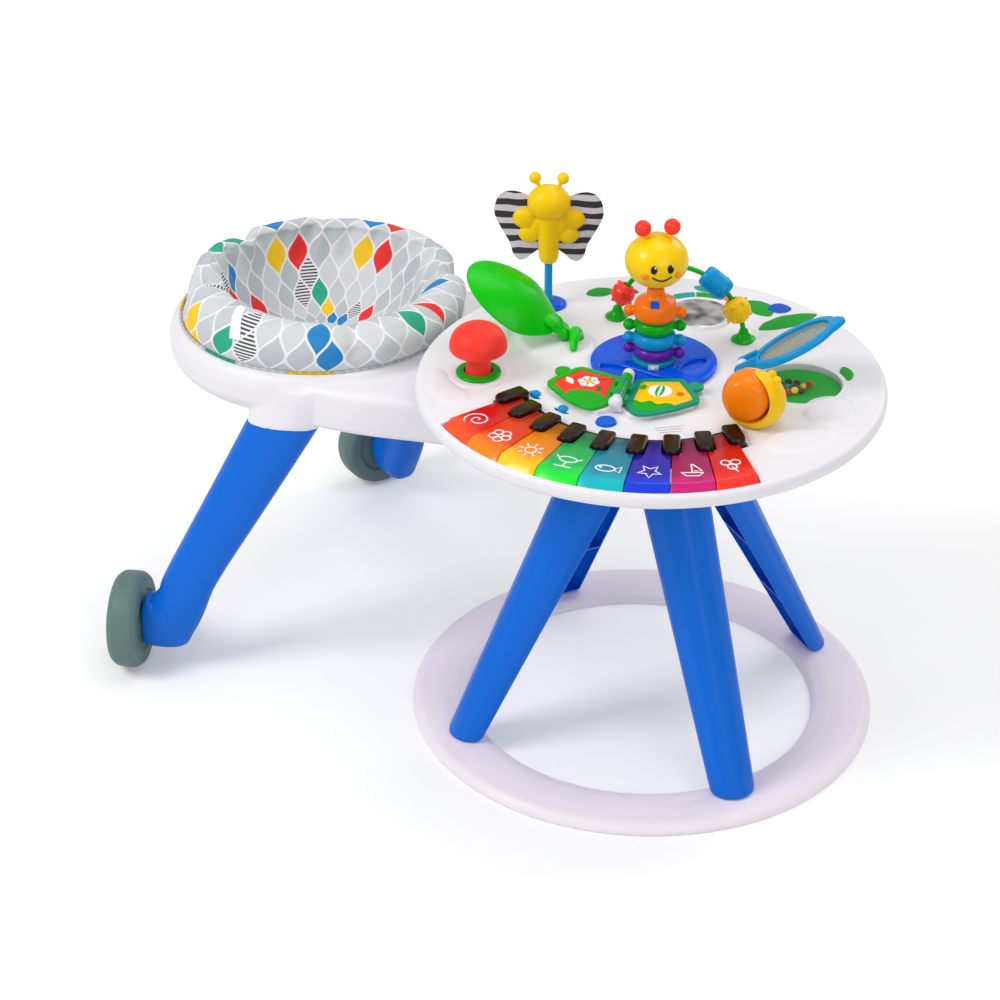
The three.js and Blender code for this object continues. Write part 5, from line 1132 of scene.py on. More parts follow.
class CENTRE_OT_left_toys(bpy.types.Operator):
    """Builds the mushroom, the leaf with its stalk, and the butterfly"""
    bl_idname = "centre.left_toys"
    bl_label = "Mushroom, leaf and butterfly"

    def execute(self, context):
        self.mushroom()
        self.leaf()
        self.butterfly()
        return {"FINISHED"}

    def mushroom(self):
        collar = rounded([(17.9, 487.35), (28.5, 487.35), (28.5, 491), (25, 492.3), (17.9, 492.3)],
                         1.6, 4, closed=True)
        piece = put(lathe("mushroom_collar_shape", collar + collar[:1], 72), spot(*MUSHROOM))
        dress(piece, "green_abs", "table", "mushroom_collar")
        stem = [(0, 486.7), (17.4, 486.7), (16.2, 492), (15.2, 500), (15.4, 509), (17.5, 514.5)]
        cap = rounded([(17.5, 514.5), (28, 517), (36.5, 521), (36, 532), (31, 544), (19, 553.4), (0, 556)],
                      9, 7)
        piece = put(lathe("mushroom_shape", stem + cap[1:], 96), spot(*MUSHROOM))
        dress(piece, "soft_red_tpe", "mushroom", "mushroom")

    def leaf(self):
        """The leaf on its hinge, and the bent stalk that rises from the table behind it."""
        root = [ball("root", (15, 0, 1), (9, 13, 6)), ball("root", (24, 0, 5), (16, 20, 6)),
                *[ball("groove", (20, y, 5.5), (16, 3, 5.6)) for y in (-11, -4, 4, 11)]]
        ears = fused("ears", [*cheeks(LEAF_BARREL, 6, LEAF_BLOCK, 18), *root], 0.8 * MM, 4)
        flap = named("leaf_flap_shape", boolean(leaf_blade(), "UNION", ears))
        put(flap, hinged(*LEAF_PIN, LEAF_PITCH))
        dress(flap, "leaf_abs", "leaf", "leaf_flap", smooth=70)
        side = arc(0, 0, 8.5, 72, 180, 14) + [(-13, -6), (-13, -11.6), (0, -11.6)]
        saddle = put(slab("saddle", side, -6.6, 6.6, 1, 1), turned(90, "X"))
        put(saddle, on_pin(*LEAF_PIN))
        line = smooth_line([(-121, 58, 485), (-121.5, 57, 494), (-119, 46, 500.5), (-115, 32, 499),
                            (-111, 20, 489.5)], 7)
        radii = [9.4 - 5.4 * (k / (len(line) - 1)) ** 1.8 for k in range(len(line))]
        stalk = fused("leaf_stalk_shape", [tube("stalk", line, radii, 20), saddle], 0.6 * MM, 3)
        boolean(stalk, "DIFFERENCE", slab("floor", oval(-118, 40, 80, 80, 24), 470, TOP + 0.3))
        dress(put(stalk, to_table()), "leaf_abs", "table", "leaf_stalk", smooth=60)

    def butterfly(self):
        """The stalk on its blue foot, and the moulded body that spins on it."""
        crown = [(20.5 - 13 * (1 - cos(a)), 487.4 + 2.9 * sin(a)) for a in quarter(6)]
        foot = [(0, TOP + FIT), (24, TOP + FIT), (23.6, 486.6), *crown, (0, 490.3)]
        piece = put(lathe("stem_base_shape", foot, 72), spot(*BUTTERFLY))
        dress(piece, "plate_abs", "table", "stem_base")
        stem = [(0, 490.7), (6.6, 490.7), (5.6, 495), (5.2, 510), (5.2, 558.6), (4.2, 560), (0, 560)]
        piece = put(lathe("butterfly_stem_shape", stem, 40), spot(*BUTTERFLY))
        dress(piece, "cyan_abs", "table", "butterfly_stem")

        body = [(0, 546.2), (7, 546.2), (11.4, 549), (13, 557), (13.6, 570), (14, 584), (14.3, 600),
                (13, 612), (0, 616)]
        parts = [lathe("trunk", smooth_line(body, 3), 48),
                 ball("head", (0, 0, 630), (28.2, 23.6, 24))]
        for side in (-1, 1):
            parts += [ball("lobe", (side * 31, 0, 608), (16, 10, 14.5)),
                      ball("lobe", (side * 25, 0, 586), (14.5, 9.4, 12.6)),
                      ball("lobe", (side * 15, 0, 598), (11, 9.4, 14)),
                      rod("feeler", (side * 9, 0, 646), (side * 16.5, 0, 660), 2.8),
                      ball("tip", (side * 18, 0, 664), (7.9, 7.9, 7.9))]
        piece = fused("butterfly_shape", parts, 0.85 * MM, 6)
        slot = slab("slot", [(-16, -1.5), (16, -1.5), (16, 1.5), (-16, 1.5)], 575, 600)
        boolean(piece, "DIFFERENCE", slot, plug("socket", 5.9, 540, 560.4, 32))
        place = spot(*BUTTERFLY, 0, BUTTERFLY_TURN)
        dress(put(piece, place), "butterfly_abs", "butterfly", "butterfly", smooth=60)
        cloth = put(self.wings(), place)
        dress(cloth, striped_cloth(), "butterfly", "butterfly_wings", smooth=60)

    def wings(self):
        """Two padded wings in one piece, thick at the middle and pinched along a stitched hem."""
        wing = [(0.14, 0.82), (0.4, 0.93), (0.62, 0.98), (0.8, 0.97), (0.93, 0.9), (1, 0.76), (0.99, 0.62),
                (0.86, 0.42), (0.72, 0.24), (0.66, 0.08), (0.56, 0), (0.42, 0.01), (0.3, 0.09), (0.17, 0.17),
                (0.12, 0.34), (0, 0.36)]
        half = smooth_line([(x * WING_SPAN, WING_LOW + z * WING_HEIGHT) for x, z in wing], 4)
        # A wing starts behind the body's middle, so that the two don't meet.
        ring = [(max(x, 11.9), z) for x, z in half]
        centre_x, centre_z = 44.0, 606.0
        # How far a wing swells at each share of the way to its middle. The second row is the stitched hem.
        rows = [(share, 0.35 + 0.75 * sin(pi / 2 * min(1, share / 0.3)))
                for share in (0.0, 0.04, 0.1, 0.35, 0.7, 1.0)]
        rows[1] = (rows[1][0], rows[1][1] - 0.4)
        levels = [(share, -puff) for share, puff in rows] + rows[::-1]
        pieces = []
        for side in (-1, 1):
            skin = [[Vector((side * (x + (centre_x - x) * share), y, z + (centre_z - z) * share)) * MM
                     for x, z in ring] for share, y in levels]
            skin = skin[::-1] if side < 0 else skin
            pieces.append(grid("wing", skin[len(skin) // 2:] + skin[:len(skin) // 2]))
        low, high = WING_LOW + 0.33 * WING_HEIGHT, WING_LOW + 0.5 * WING_HEIGHT
        pieces.append(slab("bridge", [(-12.4, -1), (12.4, -1), (12.4, 1), (-12.4, 1)], low, high, 0.4, 0.4))
        return joined("butterfly_wings_shape", pieces)


# Tower, arch and beads
POST_BORE = 8.4
ORANGE_TURN = 17
HEAD_RADIUS, HEAD_RISE, HEAD_HEIGHT = 39.5, 34, 629


def bezier(a, b, c, d, steps=12):
    a, b, c, d = Vector(a), Vector(b), Vector(c), Vector(d)
    return [tuple(a * (1 - t) ** 3 + 3 * b * t * (1 - t) ** 2 + 3 * c * t * t * (1 - t) + d * t ** 3)
            for t in (k / steps for k in range(steps + 1))]


def on_head(turn, lift, out=0.0):
    """A place on the tower head's front, by its angles in degrees, and how far it stands out."""
    a, b = radians(turn), radians(lift)
    reach, rise = HEAD_RADIUS + out, HEAD_RISE + out
    level = reach * cos(b)
    return level * sin(a), -level * cos(a), HEAD_HEIGHT + rise * sin(b)


def bored(piece, radius, low, high):
    """Cuts a round hole about the vertical."""
    return boolean(piece, "DIFFERENCE", plug("bore", radius, low, high, 40))


class CENTRE_OT_tower(bpy.types.Operator):
    """Builds the blue plate, the stacked spinners, the head, the arch and its beads"""
    bl_idname = "centre.tower"
    bl_label = "Tower and bead arch"

    def execute(self, context):
        self.plate()
        self.stack()
        self.head()
        self.arch()
        self.beads()
        return {"FINISHED"}

    def plate(self):
        """The blue disc, with two dents in its upper face."""
        top = 490.85
        edge = rounded([(0, TOP + FIT), (79.4, TOP + FIT), (80, 489.6), (76, top), (0, top)], 2.2, 5)
        plate = lathe("spinner_plate_shape", edge, 144)
        front = bezier((-58, -34), (-24, -20), (8, -46), (50, -38)) + bezier(
            (46, -50), (20, -68), (-24, -66), (-56, -44))
        front = rounded(front[::-1], 2, 3, closed=True)
        back = placed_outline(oval(0, 0, 22, 10, 48), 50, 6, 68)
        dents = [dish("dent", front, 486.4, top, 2.4), dish("dent", back, 486.6, top, 2.0)]
        boolean(plate, "DIFFERENCE", *dents)
        put(plate, spot(*PLATE))
        dress(plate, "plate_abs", "table", "spinner_plate", smooth=35)

    def stack(self):
        """The post, its smoky clip and the four spinners with a knob on each side."""
        post = rounded([(0, 491.2), (27, 491.2), (27, 497.2), (8, 497.2), (8, 605.9), (0, 605.9)], 1.4, 4)
        piece = put(lathe("tower_post_shape", post, 72), spot(*TOWER))
        dress(piece, "teal_abs", "table", "tower_post")
        band = arc(0, 0, 31, -84, -58, 8) + arc(0, 0, 26, -58, -84, 8)
        knob = ball("knob", (10, -28.6, 494), (3.2, 3.2, 2.6))
        clip = fused("collar_clip", [slab("clip", band, 491.3, 496.9), knob], 0.5 * MM, 4)
        dress(put(clip, spot(*TOWER)), "smoke_abs", "table", smooth=60)
        # A profile is given in shares of the spinner's radius and height.
        disc = [(0, 0), (0.86, 0), (1, 0.26), (1, 0.74), (0.86, 1), (0, 1)]
        dome = [(0, 0), (0.84, 0), (1, 0.15), (1, 0.38), (0.9, 0.56), (0.55, 0.66), (0.42, 0.76),
                (0.38, 1), (0, 1)]
        # Each spinner's colour, foot, top, radius, turn, profile and how far its knobs stand above its foot.
        spinners = [("purple", 497.55, 513, 25.5, 8, disc, 7.5),
                    ("cyan", 513.35, 532, 27, 14, disc, 7.5),
                    ("green", 532.35, 549, 25.5, 20, disc, 7.5),
                    ("orange", 549.35, 594, 27.5, ORANGE_TURN, dome, 9.5)]
        for tone, low, high, radius, turn, shares, lift in spinners:
            name = f"ring_{tone}"
            profile = rounded([(radius * r, low + (high - low) * h) for r, h in shares], 6, 5)
            parts = [lathe("ring", profile, 72)]
            for side in (-1, 1):
                parts += [ball("knob", (side * 32, 0, low + lift), (7.6, 7.6, 7.6), 32, 20),
                          rod("neck", (side * 17, 0, low + lift), (side * 31, 0, low + lift), 5.2)]
            piece = bored(fused(f"{name}_shape", parts, 0.8 * MM, 5), POST_BORE, low - 3, high + 3)
            dress(put(piece, spot(*TOWER, 0, turn)), f"{tone}_abs", name, name, smooth=50)
        square = rounded([(-5.5, -5.5), (5.5, -5.5), (5.5, 5.5), (-5.5, 5.5)], 1.5, 4, True)
        window = slab("orange_window", square, -1.2, 1.2, 0.6)
        put(window, spot(*TOWER, 0, ORANGE_TURN) @ moved(0, -19.6, 576.6) @ turned(26, "X"))
        dress(window, "plate_abs", "ring_orange")

    def head(self):
        """A round head with two feelers and a plain smiling face."""
        place = spot(*TOWER, 0, HEAD_TURN)
        parts = [ball("head", (0, 0, HEAD_HEIGHT), (HEAD_RADIUS, HEAD_RADIUS, HEAD_RISE), 64, 40),
                 *[rod("stalk", (side * 12, 0, 650), (side * 18.2, 0, 668), 3.6) for side in (-1, 1)]]
        head = fused("bug_head_shape", parts, 1.1 * MM, 4)
        boolean(head, "DIFFERENCE", slab("floor", oval(0, 0, 60, 60, 24), 590, 597.05))
        bored(head, POST_BORE, 590, 606.4)
        dress(put(head, place), "head_abs", "head", "bug_head", smooth=50)
        for side, word in ((-1, "left"), (1, "right")):
            tip = ball("tip", (side * 18.2, 0, 672.4), (10.4, 10.4, 10.4), 36, 24)
            tip = fused(f"feeler_{word}", [tip], 0.8 * MM, 3)
            dress(put(tip, place), "red_abs", "head", smooth=60)
        for side in (-1, 1):
            # Each mark's name, ink, slot, angles with how far it stands out, radii and mesh steps.
            marks = [("eye", "face_ink", "dark_keys", (side * 15, 7, 0), (4.2, 2.2, 5.6), (40, 24)),
                     ("glint", "white_ink", "white_plastic", (side * 15 + 2.4, 12, 1.7), (1.3, 0.7, 1.5),
                      (16, 10)),
                     ("cheek", "blush_ink", "orange", (side * 31, -9, -0.2), (5, 3.4, 4.4), (40, 24))]
            for word, ink, slot, at, radii, steps in marks:
                mark = ball(f"head_{word}_{side + 1}", on_head(*at), radii, *steps)
                dress(put(mark, place), ink, "head")
        smile = [on_head(a, -10 - 9 * cos(radians(a * 5)), 0.1) for a in range(-18, 19, 3)]
        dress(put(tube("head_smile", smile, 1.1, 12), place), "face_ink", "head")

    def arch(self):
        """A bent wire between two round feet."""
        angles = [radians(2 + 176 * k / 80) for k in range(81)]
        hoop = [(ARCH_RADIUS * cos(a), 0, ARCH_BASE + ARCH_RADIUS * sin(a)) for a in angles]
        foot = rounded([(0, TOP + FIT), (16, TOP + FIT), (16, 486.4), (10.5, 489.5), (6.8, 494), (5.2, 500.3),
                        (0, 500.3)], 2, 4)
        parts = [tube("hoop", hoop, 3.3, 20)]
        parts += [put(lathe("foot", foot, 48), moved(side * ARCH_RADIUS, 0)) for side in (-1, 1)]
        piece = fused("bead_arch_shape", parts, 0.75 * MM, 4)
        boolean(piece, "DIFFERENCE", slab("floor", oval(0, 0, 130, 130, 24), 470, TOP + 0.36))
        dress(put(piece, spot(*ARCH)), "green_abs", "table", "bead_arch", smooth=50)

    def beads(self):
        """Two balls and a barrel with blunt spikes, threaded on the wire."""
        # Each bead's colour, angle along the arch, half length, radius and spikes in each of two rows.
        for tone, angle, half, radius, count in (("red", 157, 15.5, 15.5, 6), ("yellow", 27, 17.5, 17.5, 7),
                                                 ("cyan", 57, 20, 15, 6)):
            name = "bead_blue" if tone == "cyan" else f"bead_{tone}"
            if half == radius:
                parts = [ball("bead", (0, 0, 0), (radius, radius, radius), 48, 32)]
            else:
                side = [(0, -half), (radius * 0.8, -half), (radius, -half * 0.7), (radius, half * 0.7),
                        (radius * 0.8, half), (0, half)]
                parts = [lathe("bead", rounded(side, 4, 5), 48)]
            for tilt, shift in ((radians(-30), 0), (radians(30), 0.5)):
                for k in range(count):
                    turn = 2 * pi * (k + shift) / count
                    level = cos(tilt)
                    out = Vector((cos(turn) * level, sin(turn) * level, sin(tilt)))
                    parts.append(rod("spike", out * radius * 0.8, out * (radius + 2.9), 3.4, 1.7, 20))
            piece = fused(f"{name}_shape", parts, 0.7 * MM, 4)
            # The bore is straight, so it is widened by the wire's rise over the bead's length.
            bend = half * half / (2 * ARCH_RADIUS)
            bored(piece, 3.2 + bend / 2 + 0.75, -half - 4, half + 4)
            reach, a = ARCH_RADIUS - bend / 2, radians(angle)
            middle = moved(reach * cos(a), 0, ARCH_BASE + reach * sin(a))
            put(piece, spot(*ARCH) @ middle @ turned(180 - angle, "Y"))
            dress(piece, f"{tone}_abs", name, name, smooth=50)


# Book
BOOK_PIN = 501.85
KNUCKLE = 14.5
PAGE_FOOT, PAGE_TOP, PAGE_SINK = 491.2, 495.7, 1.1
PAGE = [(8.6, -29), (27, -51), (46, -44), (72, -25), (98, 3), (90, 20), (66, 56), (8.6, 40)]


def page_outline(side, inset=0.0, soft=10):
    outline = offset_outline(rounded(PAGE, soft, 6, closed=True), -inset)
    return outline if side > 0 else [(-x, y) for x, y in reversed(outline)]


def panel_art(side):
    """Plain pictures for the two pages: a daisy on a hill, and a striped ball over waves."""
    if side < 0:
        petals = oval(46, 18, 8.4, 8.4, 6)
        hill = [(17, -34), (32, -42), (50, -32), (68, -16), (60, -6), (36, -4), (18, -14)]
        leaf = [(28, -6), (34, 4), (32, 12), (26, 4)]
        cloud = [(62, 6), (74, 12), (76, 24), (66, 20)]
        shapes = [(oval(x, y, 5.4, 5.4, 20), 0.5, "FFFFFF") for x, y in petals]
        shapes += [(oval(46, 18, 5, 5, 24), 0.9, "FFCE05"), (rounded(hill, 8, 5, True), 0.45, "0FB31A"),
                   (rounded(leaf, 4, 4, True), 0.7, "0A8C18"), (rounded(cloud, 4, 4, True), 0.6, "FFFFFF")]
        return [([(-x, y) for x, y in reversed(outline)], rise, tone) for outline, rise, tone in shapes]
    waves = [(17, -34), (32, -42), (50, -32), (70, -14), (58, -12), (48, -20), (38, -10), (28, -20),
             (18, -12)]
    return [(oval(44, 16, 15, 15, 40), 0.5, "FFFFFF"), (oval(44, 16, 5.5, 15, 32), 0.8, "0CB41E"),
            (oval(44, 16, 1.8, 15, 24), 1.0, "FFFFFF"), (rounded(waves, 6, 5, True), 0.5, "0CB41E"),
            (oval(70, 14, 5, 5, 24), 0.6, "FF6A1A"), (oval(22, 20, 4, 6, 24), 0.6, "0CB41E")]


class CENTRE_OT_book(bpy.types.Operator):
    """Builds the two turning pages, their pictures and the white base with its knobs"""
    bl_idname = "centre.book"
    bl_label = "Book"

    def execute(self, context):
        place = spot(*BOOK, 0, BOOK_TURN)
        base = refined("book_base_shape", "book_base", 1.1, steps=3)
        knobs = [ball("end", (0, -39, 501.6), (8.6, 7.4, 8.6)),
                 ball("end", (0, 38.5, 501.6), (7.4, 4.5, 7.4))]
        boolean(base, "UNION", *[put(knob, place) for knob in knobs])
        dress(base, "white_polypropylene", "table", "book_base", smooth=35)
        sides = ((-1, "left", "page_green", "red"), (1, "right", "page_teal", "yellow"))
        for side, word, slot, panel_tone in sides:
            body = f"book_{word}"
            page = put(self.page(side, f"book_page_{word}_shape"), place)
            dress(page, f"{slot}_abs", body, f"book_page_{word}", smooth=35)
            floor = PAGE_TOP - PAGE_SINK
            panel = slab(f"book_panel_{word}", page_outline(side, 8.9, 8), floor + 0.02, floor + 0.5, 0.2)
            dress(put(panel, place), f"{panel_tone}_abs", body)
            for index, (outline, rise, tone) in enumerate(panel_art(side)):
                low = floor + 0.52
                piece = slab(f"book_art_{word}_{index}", outline, low, low + rise, 0.2)
                dress(put(piece, place), plastic(f"page_ink_{tone}", tone, 0.35), body)
        carried("book_pin", metal("drawn_steel"), 0.3, "steel")
        return {"FINISHED"}

    def page(self, side, name):
        """One page with its tab, its knuckles round the pin and a sunk place for its picture."""
        edge = sizes().edge / MM
        page = slab("leaf", page_outline(side), PAGE_FOOT, PAGE_TOP, edge, 0.8)
        parts = [slab("tab", oval(side * 84, 40, 10, 10, 40), PAGE_FOOT, PAGE_TOP, edge, 0.8)]
        for i in range(0 if side > 0 else 1, 4, 2):
            low, high = -29 + i * KNUCKLE + 0.2, -29 + (i + 1) * KNUCKLE - 0.2
            parts.append(rod("knuckle", (0, low, BOOK_PIN), (0, high, BOOK_PIN), 7, sides=40))
            web = [(side * 3, low), (side * 12, low), (side * 12, high), (side * 3, high)][::side]
            parts.append(slab("web", web, 494.25, BOOK_PIN))
        boolean(page, "UNION", *parts)
        boolean(page, "DIFFERENCE", rod("bore", (0, -44, BOOK_PIN), (0, 44, BOOK_PIN), 2.95))
        window = dish("window", page_outline(side, 8.5, 8), PAGE_TOP - PAGE_SINK, PAGE_TOP, 0.5)
        boolean(page, "DIFFERENCE", window)
        return named(name, page)


# Right side: magnifier, snail, window, mirror and printed shapes
INK_STEP = 0.07


class CENTRE_OT_right_toys(bpy.types.Operator):
    """Builds the magnifier, the snail, the bead window, the mirror and the printed leaves"""
    bl_idname = "centre.right_toys"
    bl_label = "Magnifier, snail, window and mirror"

    def execute(self, context):
        self.magnifier()
        self.snail()
        self.window()
        side = rounded([(0, 485.45), (39.6, 485.45), (39.6, 488.1), (34, 488.35), (0, 488.35)], 1, 3)
        glass = put(lathe("mirror_shape", side, 96), spot(*MIRROR))
        dress(glass, silver_film(), "table", "mirror")
        self.prints()
        return {"FINISHED"}

    def magnifier(self):
        """An oval frame with a rebate for its ribbed lens, two ears and a tab with a small lobe."""
        place = hinged(*MAGNIFIER_PIN, MAGNIFIER_PITCH)
        body = slab("magnifier_frame_shape", oval(76, 0, 60, 43, 88), -4.5, 4.5, 3.4, 3.4, 5)
        tab = slab("tab", oval(130, 0, 13, 15, 48), -4.5, 4.5, 3.0, 3.0, 5)
        tip = slab("tip", oval(139, 0, 7.5, 8.5, 40), -4.1, 4.1, 2.8, 2.8, 5)
        boolean(body, "UNION", tab, tip, *cheeks(MAGNIFIER_BARREL, 6, MAGNIFIER_BLOCK, 24))
        opening = moulded("opening", oval(76, 0, 47.6, 30.6, 80), [(0, -8), (0, 8)])
        rebate = dish("rebate", oval(76, 0, 49.65, 32.65, 80), -1.55, 4.5, 1.2)
        boolean(body, "DIFFERENCE", opening, rebate)
        dress(put(body, place), "cyan_abs", "magnifier", "magnifier_frame", smooth=40)
        lens = put(slab("magnifier_lens_shape", oval(76, 0, 49.3, 32.3, 80), -1.2, 1.2, 0.4, 0.4), place)
        ribbed = clear_plastic("ribbed_lens", "B4BAA8", 0.78, ridge=2.2)
        dress(lens, ribbed, "magnifier", "magnifier_lens")

    def snail(self):
        """A yellow body with two feelers, and the orange ball that turns in its open side."""
        place = spot(*SNAIL, 0, SNAIL_TURN)
        axle = moved(-8, 0, 525) @ turned(-90, "X")
        parts = [ball("blob", (1, -1, 518), (38, 31, 37), 64, 40)]
        for x, y in ((19, 5), (27, -9)):
            parts += [ball("tip", (x, y, 551), (5.6, 5.6, 5.6)), rod("stalk", (x, y, 528), (x, y, 551), 2.8)]
        body = fused("snail_body_shape", parts, 0.95 * MM, 5)
        hollow = put(plug("hollow", 30.7, -60, 17.4, 80), axle)
        boolean(body, "DIFFERENCE", hollow, slab("floor", oval(0, 0, 90, 90, 24), 440, TOP + 0.36))
        cheek = put(plug("cheek", 23, 17.4, 22, 64), axle)
        boolean(body, "UNION", cheek, put(plug("pin", 4.5, -19, 19, 40), axle))
        dress(put(body, place), "yellow_abs", "table", "snail_body", smooth=45)
        side = rounded([(0, -28.8), (15, -28.4), (26, -24.5), (29.9, -13), (29.9, 4), (25.5, 16.8),
                        (0, 16.8)], 6, 6)
        shell = fused("snail_shell_shape", [lathe("shell", side, 96)], 0.75 * MM, 4)
        boolean(shell, "DIFFERENCE", plug("bore", 4.9, -19.4, 22, 40))
        put(shell, place @ axle)
        dress(shell, "snail_abs", "snail_shell", "snail_shell", smooth=50)

    def window(self):
        """A green plate with loose seeds under a thin clear dome."""
        place = spot(*WINDOW)
        plate = [(0, 476.4), (51.6, 476.4), (51.6, 478.4), (46, 478.35), (30, 477.9), (0, 477.8)]
        piece = put(lathe("window_plate_shape", plate, 96), place)
        dress(piece, "window_abs", "table", "window_plate")
        crown = [(50 * cos(a), 486.8 + 4.2 * sin(a)) for a in quarter(10)[1:]]
        outer = [(51.6, 478.75), (51.6, 484.5), (50, 486.8), *crown]
        inner = [(max(0, r - 2), z - 1.3) for r, z in reversed(outer[2:])] + [(49.6, 484.5), (49.6, 478.75)]
        dome = lathe("window_dome_shape", outer + inner[1:] + outer[:1], 96)
        clear = clear_plastic("clear_acrylic", "F4FBF8", 0.02)
        dress(put(dome, place), clear, "table", "window_dome")
        # Each seed's place in the window, its radius and its colour.
        seeds = [(-20, -16, 5, "FF7A10"), (-10, -20, 4.4, "E8261B"), (-2, -14, 5, "FFD000"),
                 (-14, -6, 4, "0AA08A"), (-24, -4, 4.8, "5A1A10"), (-4, -4, 4.2, "2A1A50"),
                 (6, -10, 4, "5A1A10"), (-16, 6, 4.4, "24401A"), (-6, 8, 4.2, "6A1410"),
                 (4, 2, 4, "FFD000"), (-30, 6, 4, "3A2A20"), (10, 10, 4.2, "E8261B")]
        for index, (x, y, radius, tone) in enumerate(seeds):
            tall = radius * 0.92
            seed = ball("seed", (x, y, 478.4 + tall), (radius, radius, tall))
            seed = put(fused(f"window_bead_{index}", [seed], 0.6 * MM, 3), place)
            dress(seed, plastic(f"seed_abs_{tone}", tone, 0.15, 0.4), "table", smooth=60)

    def prints(self):
        """Printed leaves and a broken band round the mirror, as thin raised ink on the top."""
        leaf = [(0, 0), (0.18, 0.55), (0.5, 0.8), (0.82, 0.5), (1, 0), (0.8, -0.42), (0.5, -0.62),
                (0.2, -0.42)]
        # Each leaf's place, length, width, turn and colour. Each print has a height of its own.
        leaves = [(-158, 184, 44, 20, 42, "12A026"), (-120, 205, 30, 13, 30, "12A026"),
                  (44, 250, 56, 26, -38, "12A026"), (84, 172, 96, 24, 52, "12A026"),
                  (102, 150, 70, 18, 30, "20B43A"), (76, 236, 34, 22, 20, "1058C8"),
                  (214, 118, 40, 13, -64, "12A026"), (-34, 262, 30, 12, -10, "0FA79A"),
                  (10, 250, 26, 10, -30, "FF7A2A")]
        for index, (x, y, length, width, turn, tone) in enumerate(leaves):
            soft = rounded([(px * length, py * width) for px, py in leaf], 6, 5, closed=True)[::-1]
            self.print_on(f"print_{index}", placed_outline(soft, x, y, turn), 0.3 + INK_STEP * index, tone)
        bands = ((84, 112, "12A026"), (114, 140, "0FA79A"), (142, 166, "12A026"))
        for index, (start, end, tone) in enumerate(bands):
            band = arc(*MIRROR, 66, start, end, 16) + arc(*MIRROR, 54, end, start, 16)
            outline = rounded(band, 2, 3, closed=True)
            self.print_on(f"print_band_{index}", outline, 1.0 + INK_STEP * index, tone)

    def print_on(self, name, outline, rise, tone):
        piece = put(slab(name, outline, TOP + 0.02, TOP + rise, 0.1), to_table())
        dress(piece, plastic(f"print_ink_{tone}", tone, 0.4), "table")


# Walker
ARM_EDGE = [(-470, 187), (-347, 168), (-243, 134), (-150, 106)]
# The block that a leg plugs into: its lower end, distance out, turn, size, and section in shares.
BLOCK_FOOT, BLOCK_TRACK, BLOCK_TURN = 384.35, 470.7, 20.4
BLOCK_SIZE = (97, 64)
BLOCK = [(0.5, 0.2), (0.38, 0.42), (0.1, 0.5), (-0.1, 0.5), (-0.38, 0.42), (-0.5, 0.2),
         (-0.5, -0.2), (-0.38, -0.42), (-0.1, -0.5), (0.1, -0.5), (0.38, -0.42), (0.5, -0.2)]
# Walker leg stations: distance out, height, tilt in degrees, length and thickness of the section.
LEG_STATIONS = [(BLOCK_TRACK, 388, 0, *BLOCK_SIZE), (484.1, 359.6, 0, *BLOCK_SIZE), (544.9, 249.7, 0, 87, 58),
                (604.6, 144.1, 0, 77, 54), (619.6, 110, 8, 70, 53), (634.9, 80, 42, 74, 52),
                (647, 68.6, 58, 86, 52), (674, 66.9, 90, 72, 50)]
WHEEL_RADIUS, WHEEL_WIDTH, WHEEL_TRACK, WHEEL_TURN = 65.8, 40.7, 695, 25


def walker_spot():
    """The walker's own layout has its seat and arm along X from the table's axis."""
    return moved(TABLE_X, 0)


def arm_outline(inset):
    """The arm from the seat to its round nose about the hub's post."""
    side = smooth_line([(x, y - inset) for x, y in ARM_EDGE], 8)
    nose = arc(0, 0, 95 - inset, 108, -108, 40)
    return (side + nose + [(x, -y) for x, y in reversed(side)])[::-1]


def leg_section(side, track, height, tilt, length, thickness, grow=0.0):
    """One section of a walker leg: how far out and how high it is, its tilt in degrees and its size."""
    share = min(1.0, (BLOCK_FOOT - height) / (BLOCK_FOOT - 107.7))
    angle = radians(180 - side * (BLOCK_TURN + share * (WHEEL_TURN - BLOCK_TURN)))
    out = Vector((cos(angle), sin(angle), 0))
    sideways = Vector((-sin(angle), cos(angle), 0))
    lean = radians(tilt)
    points = []
    for l, t in rounded(BLOCK, 8, 3, closed=True):
        along = l * (length + 2 * grow)
        across = t * (thickness + 2 * grow)
        middle = out * (track + along * cos(lean)) + sideways * across
        points.append((middle + Vector((0, 0, height + along * sin(lean)))) * MM)
    return points


def boss_rows(side, low, high, grow):
    """Sections of the block that a walker leg plugs into."""
    rows = [(BLOCK_TRACK + (384 - z) * 0.466, z) for z in (high, (high + low) / 2, low)]
    return [leg_section(side, track, z, 0, *BLOCK_SIZE, grow) for track, z in rows]


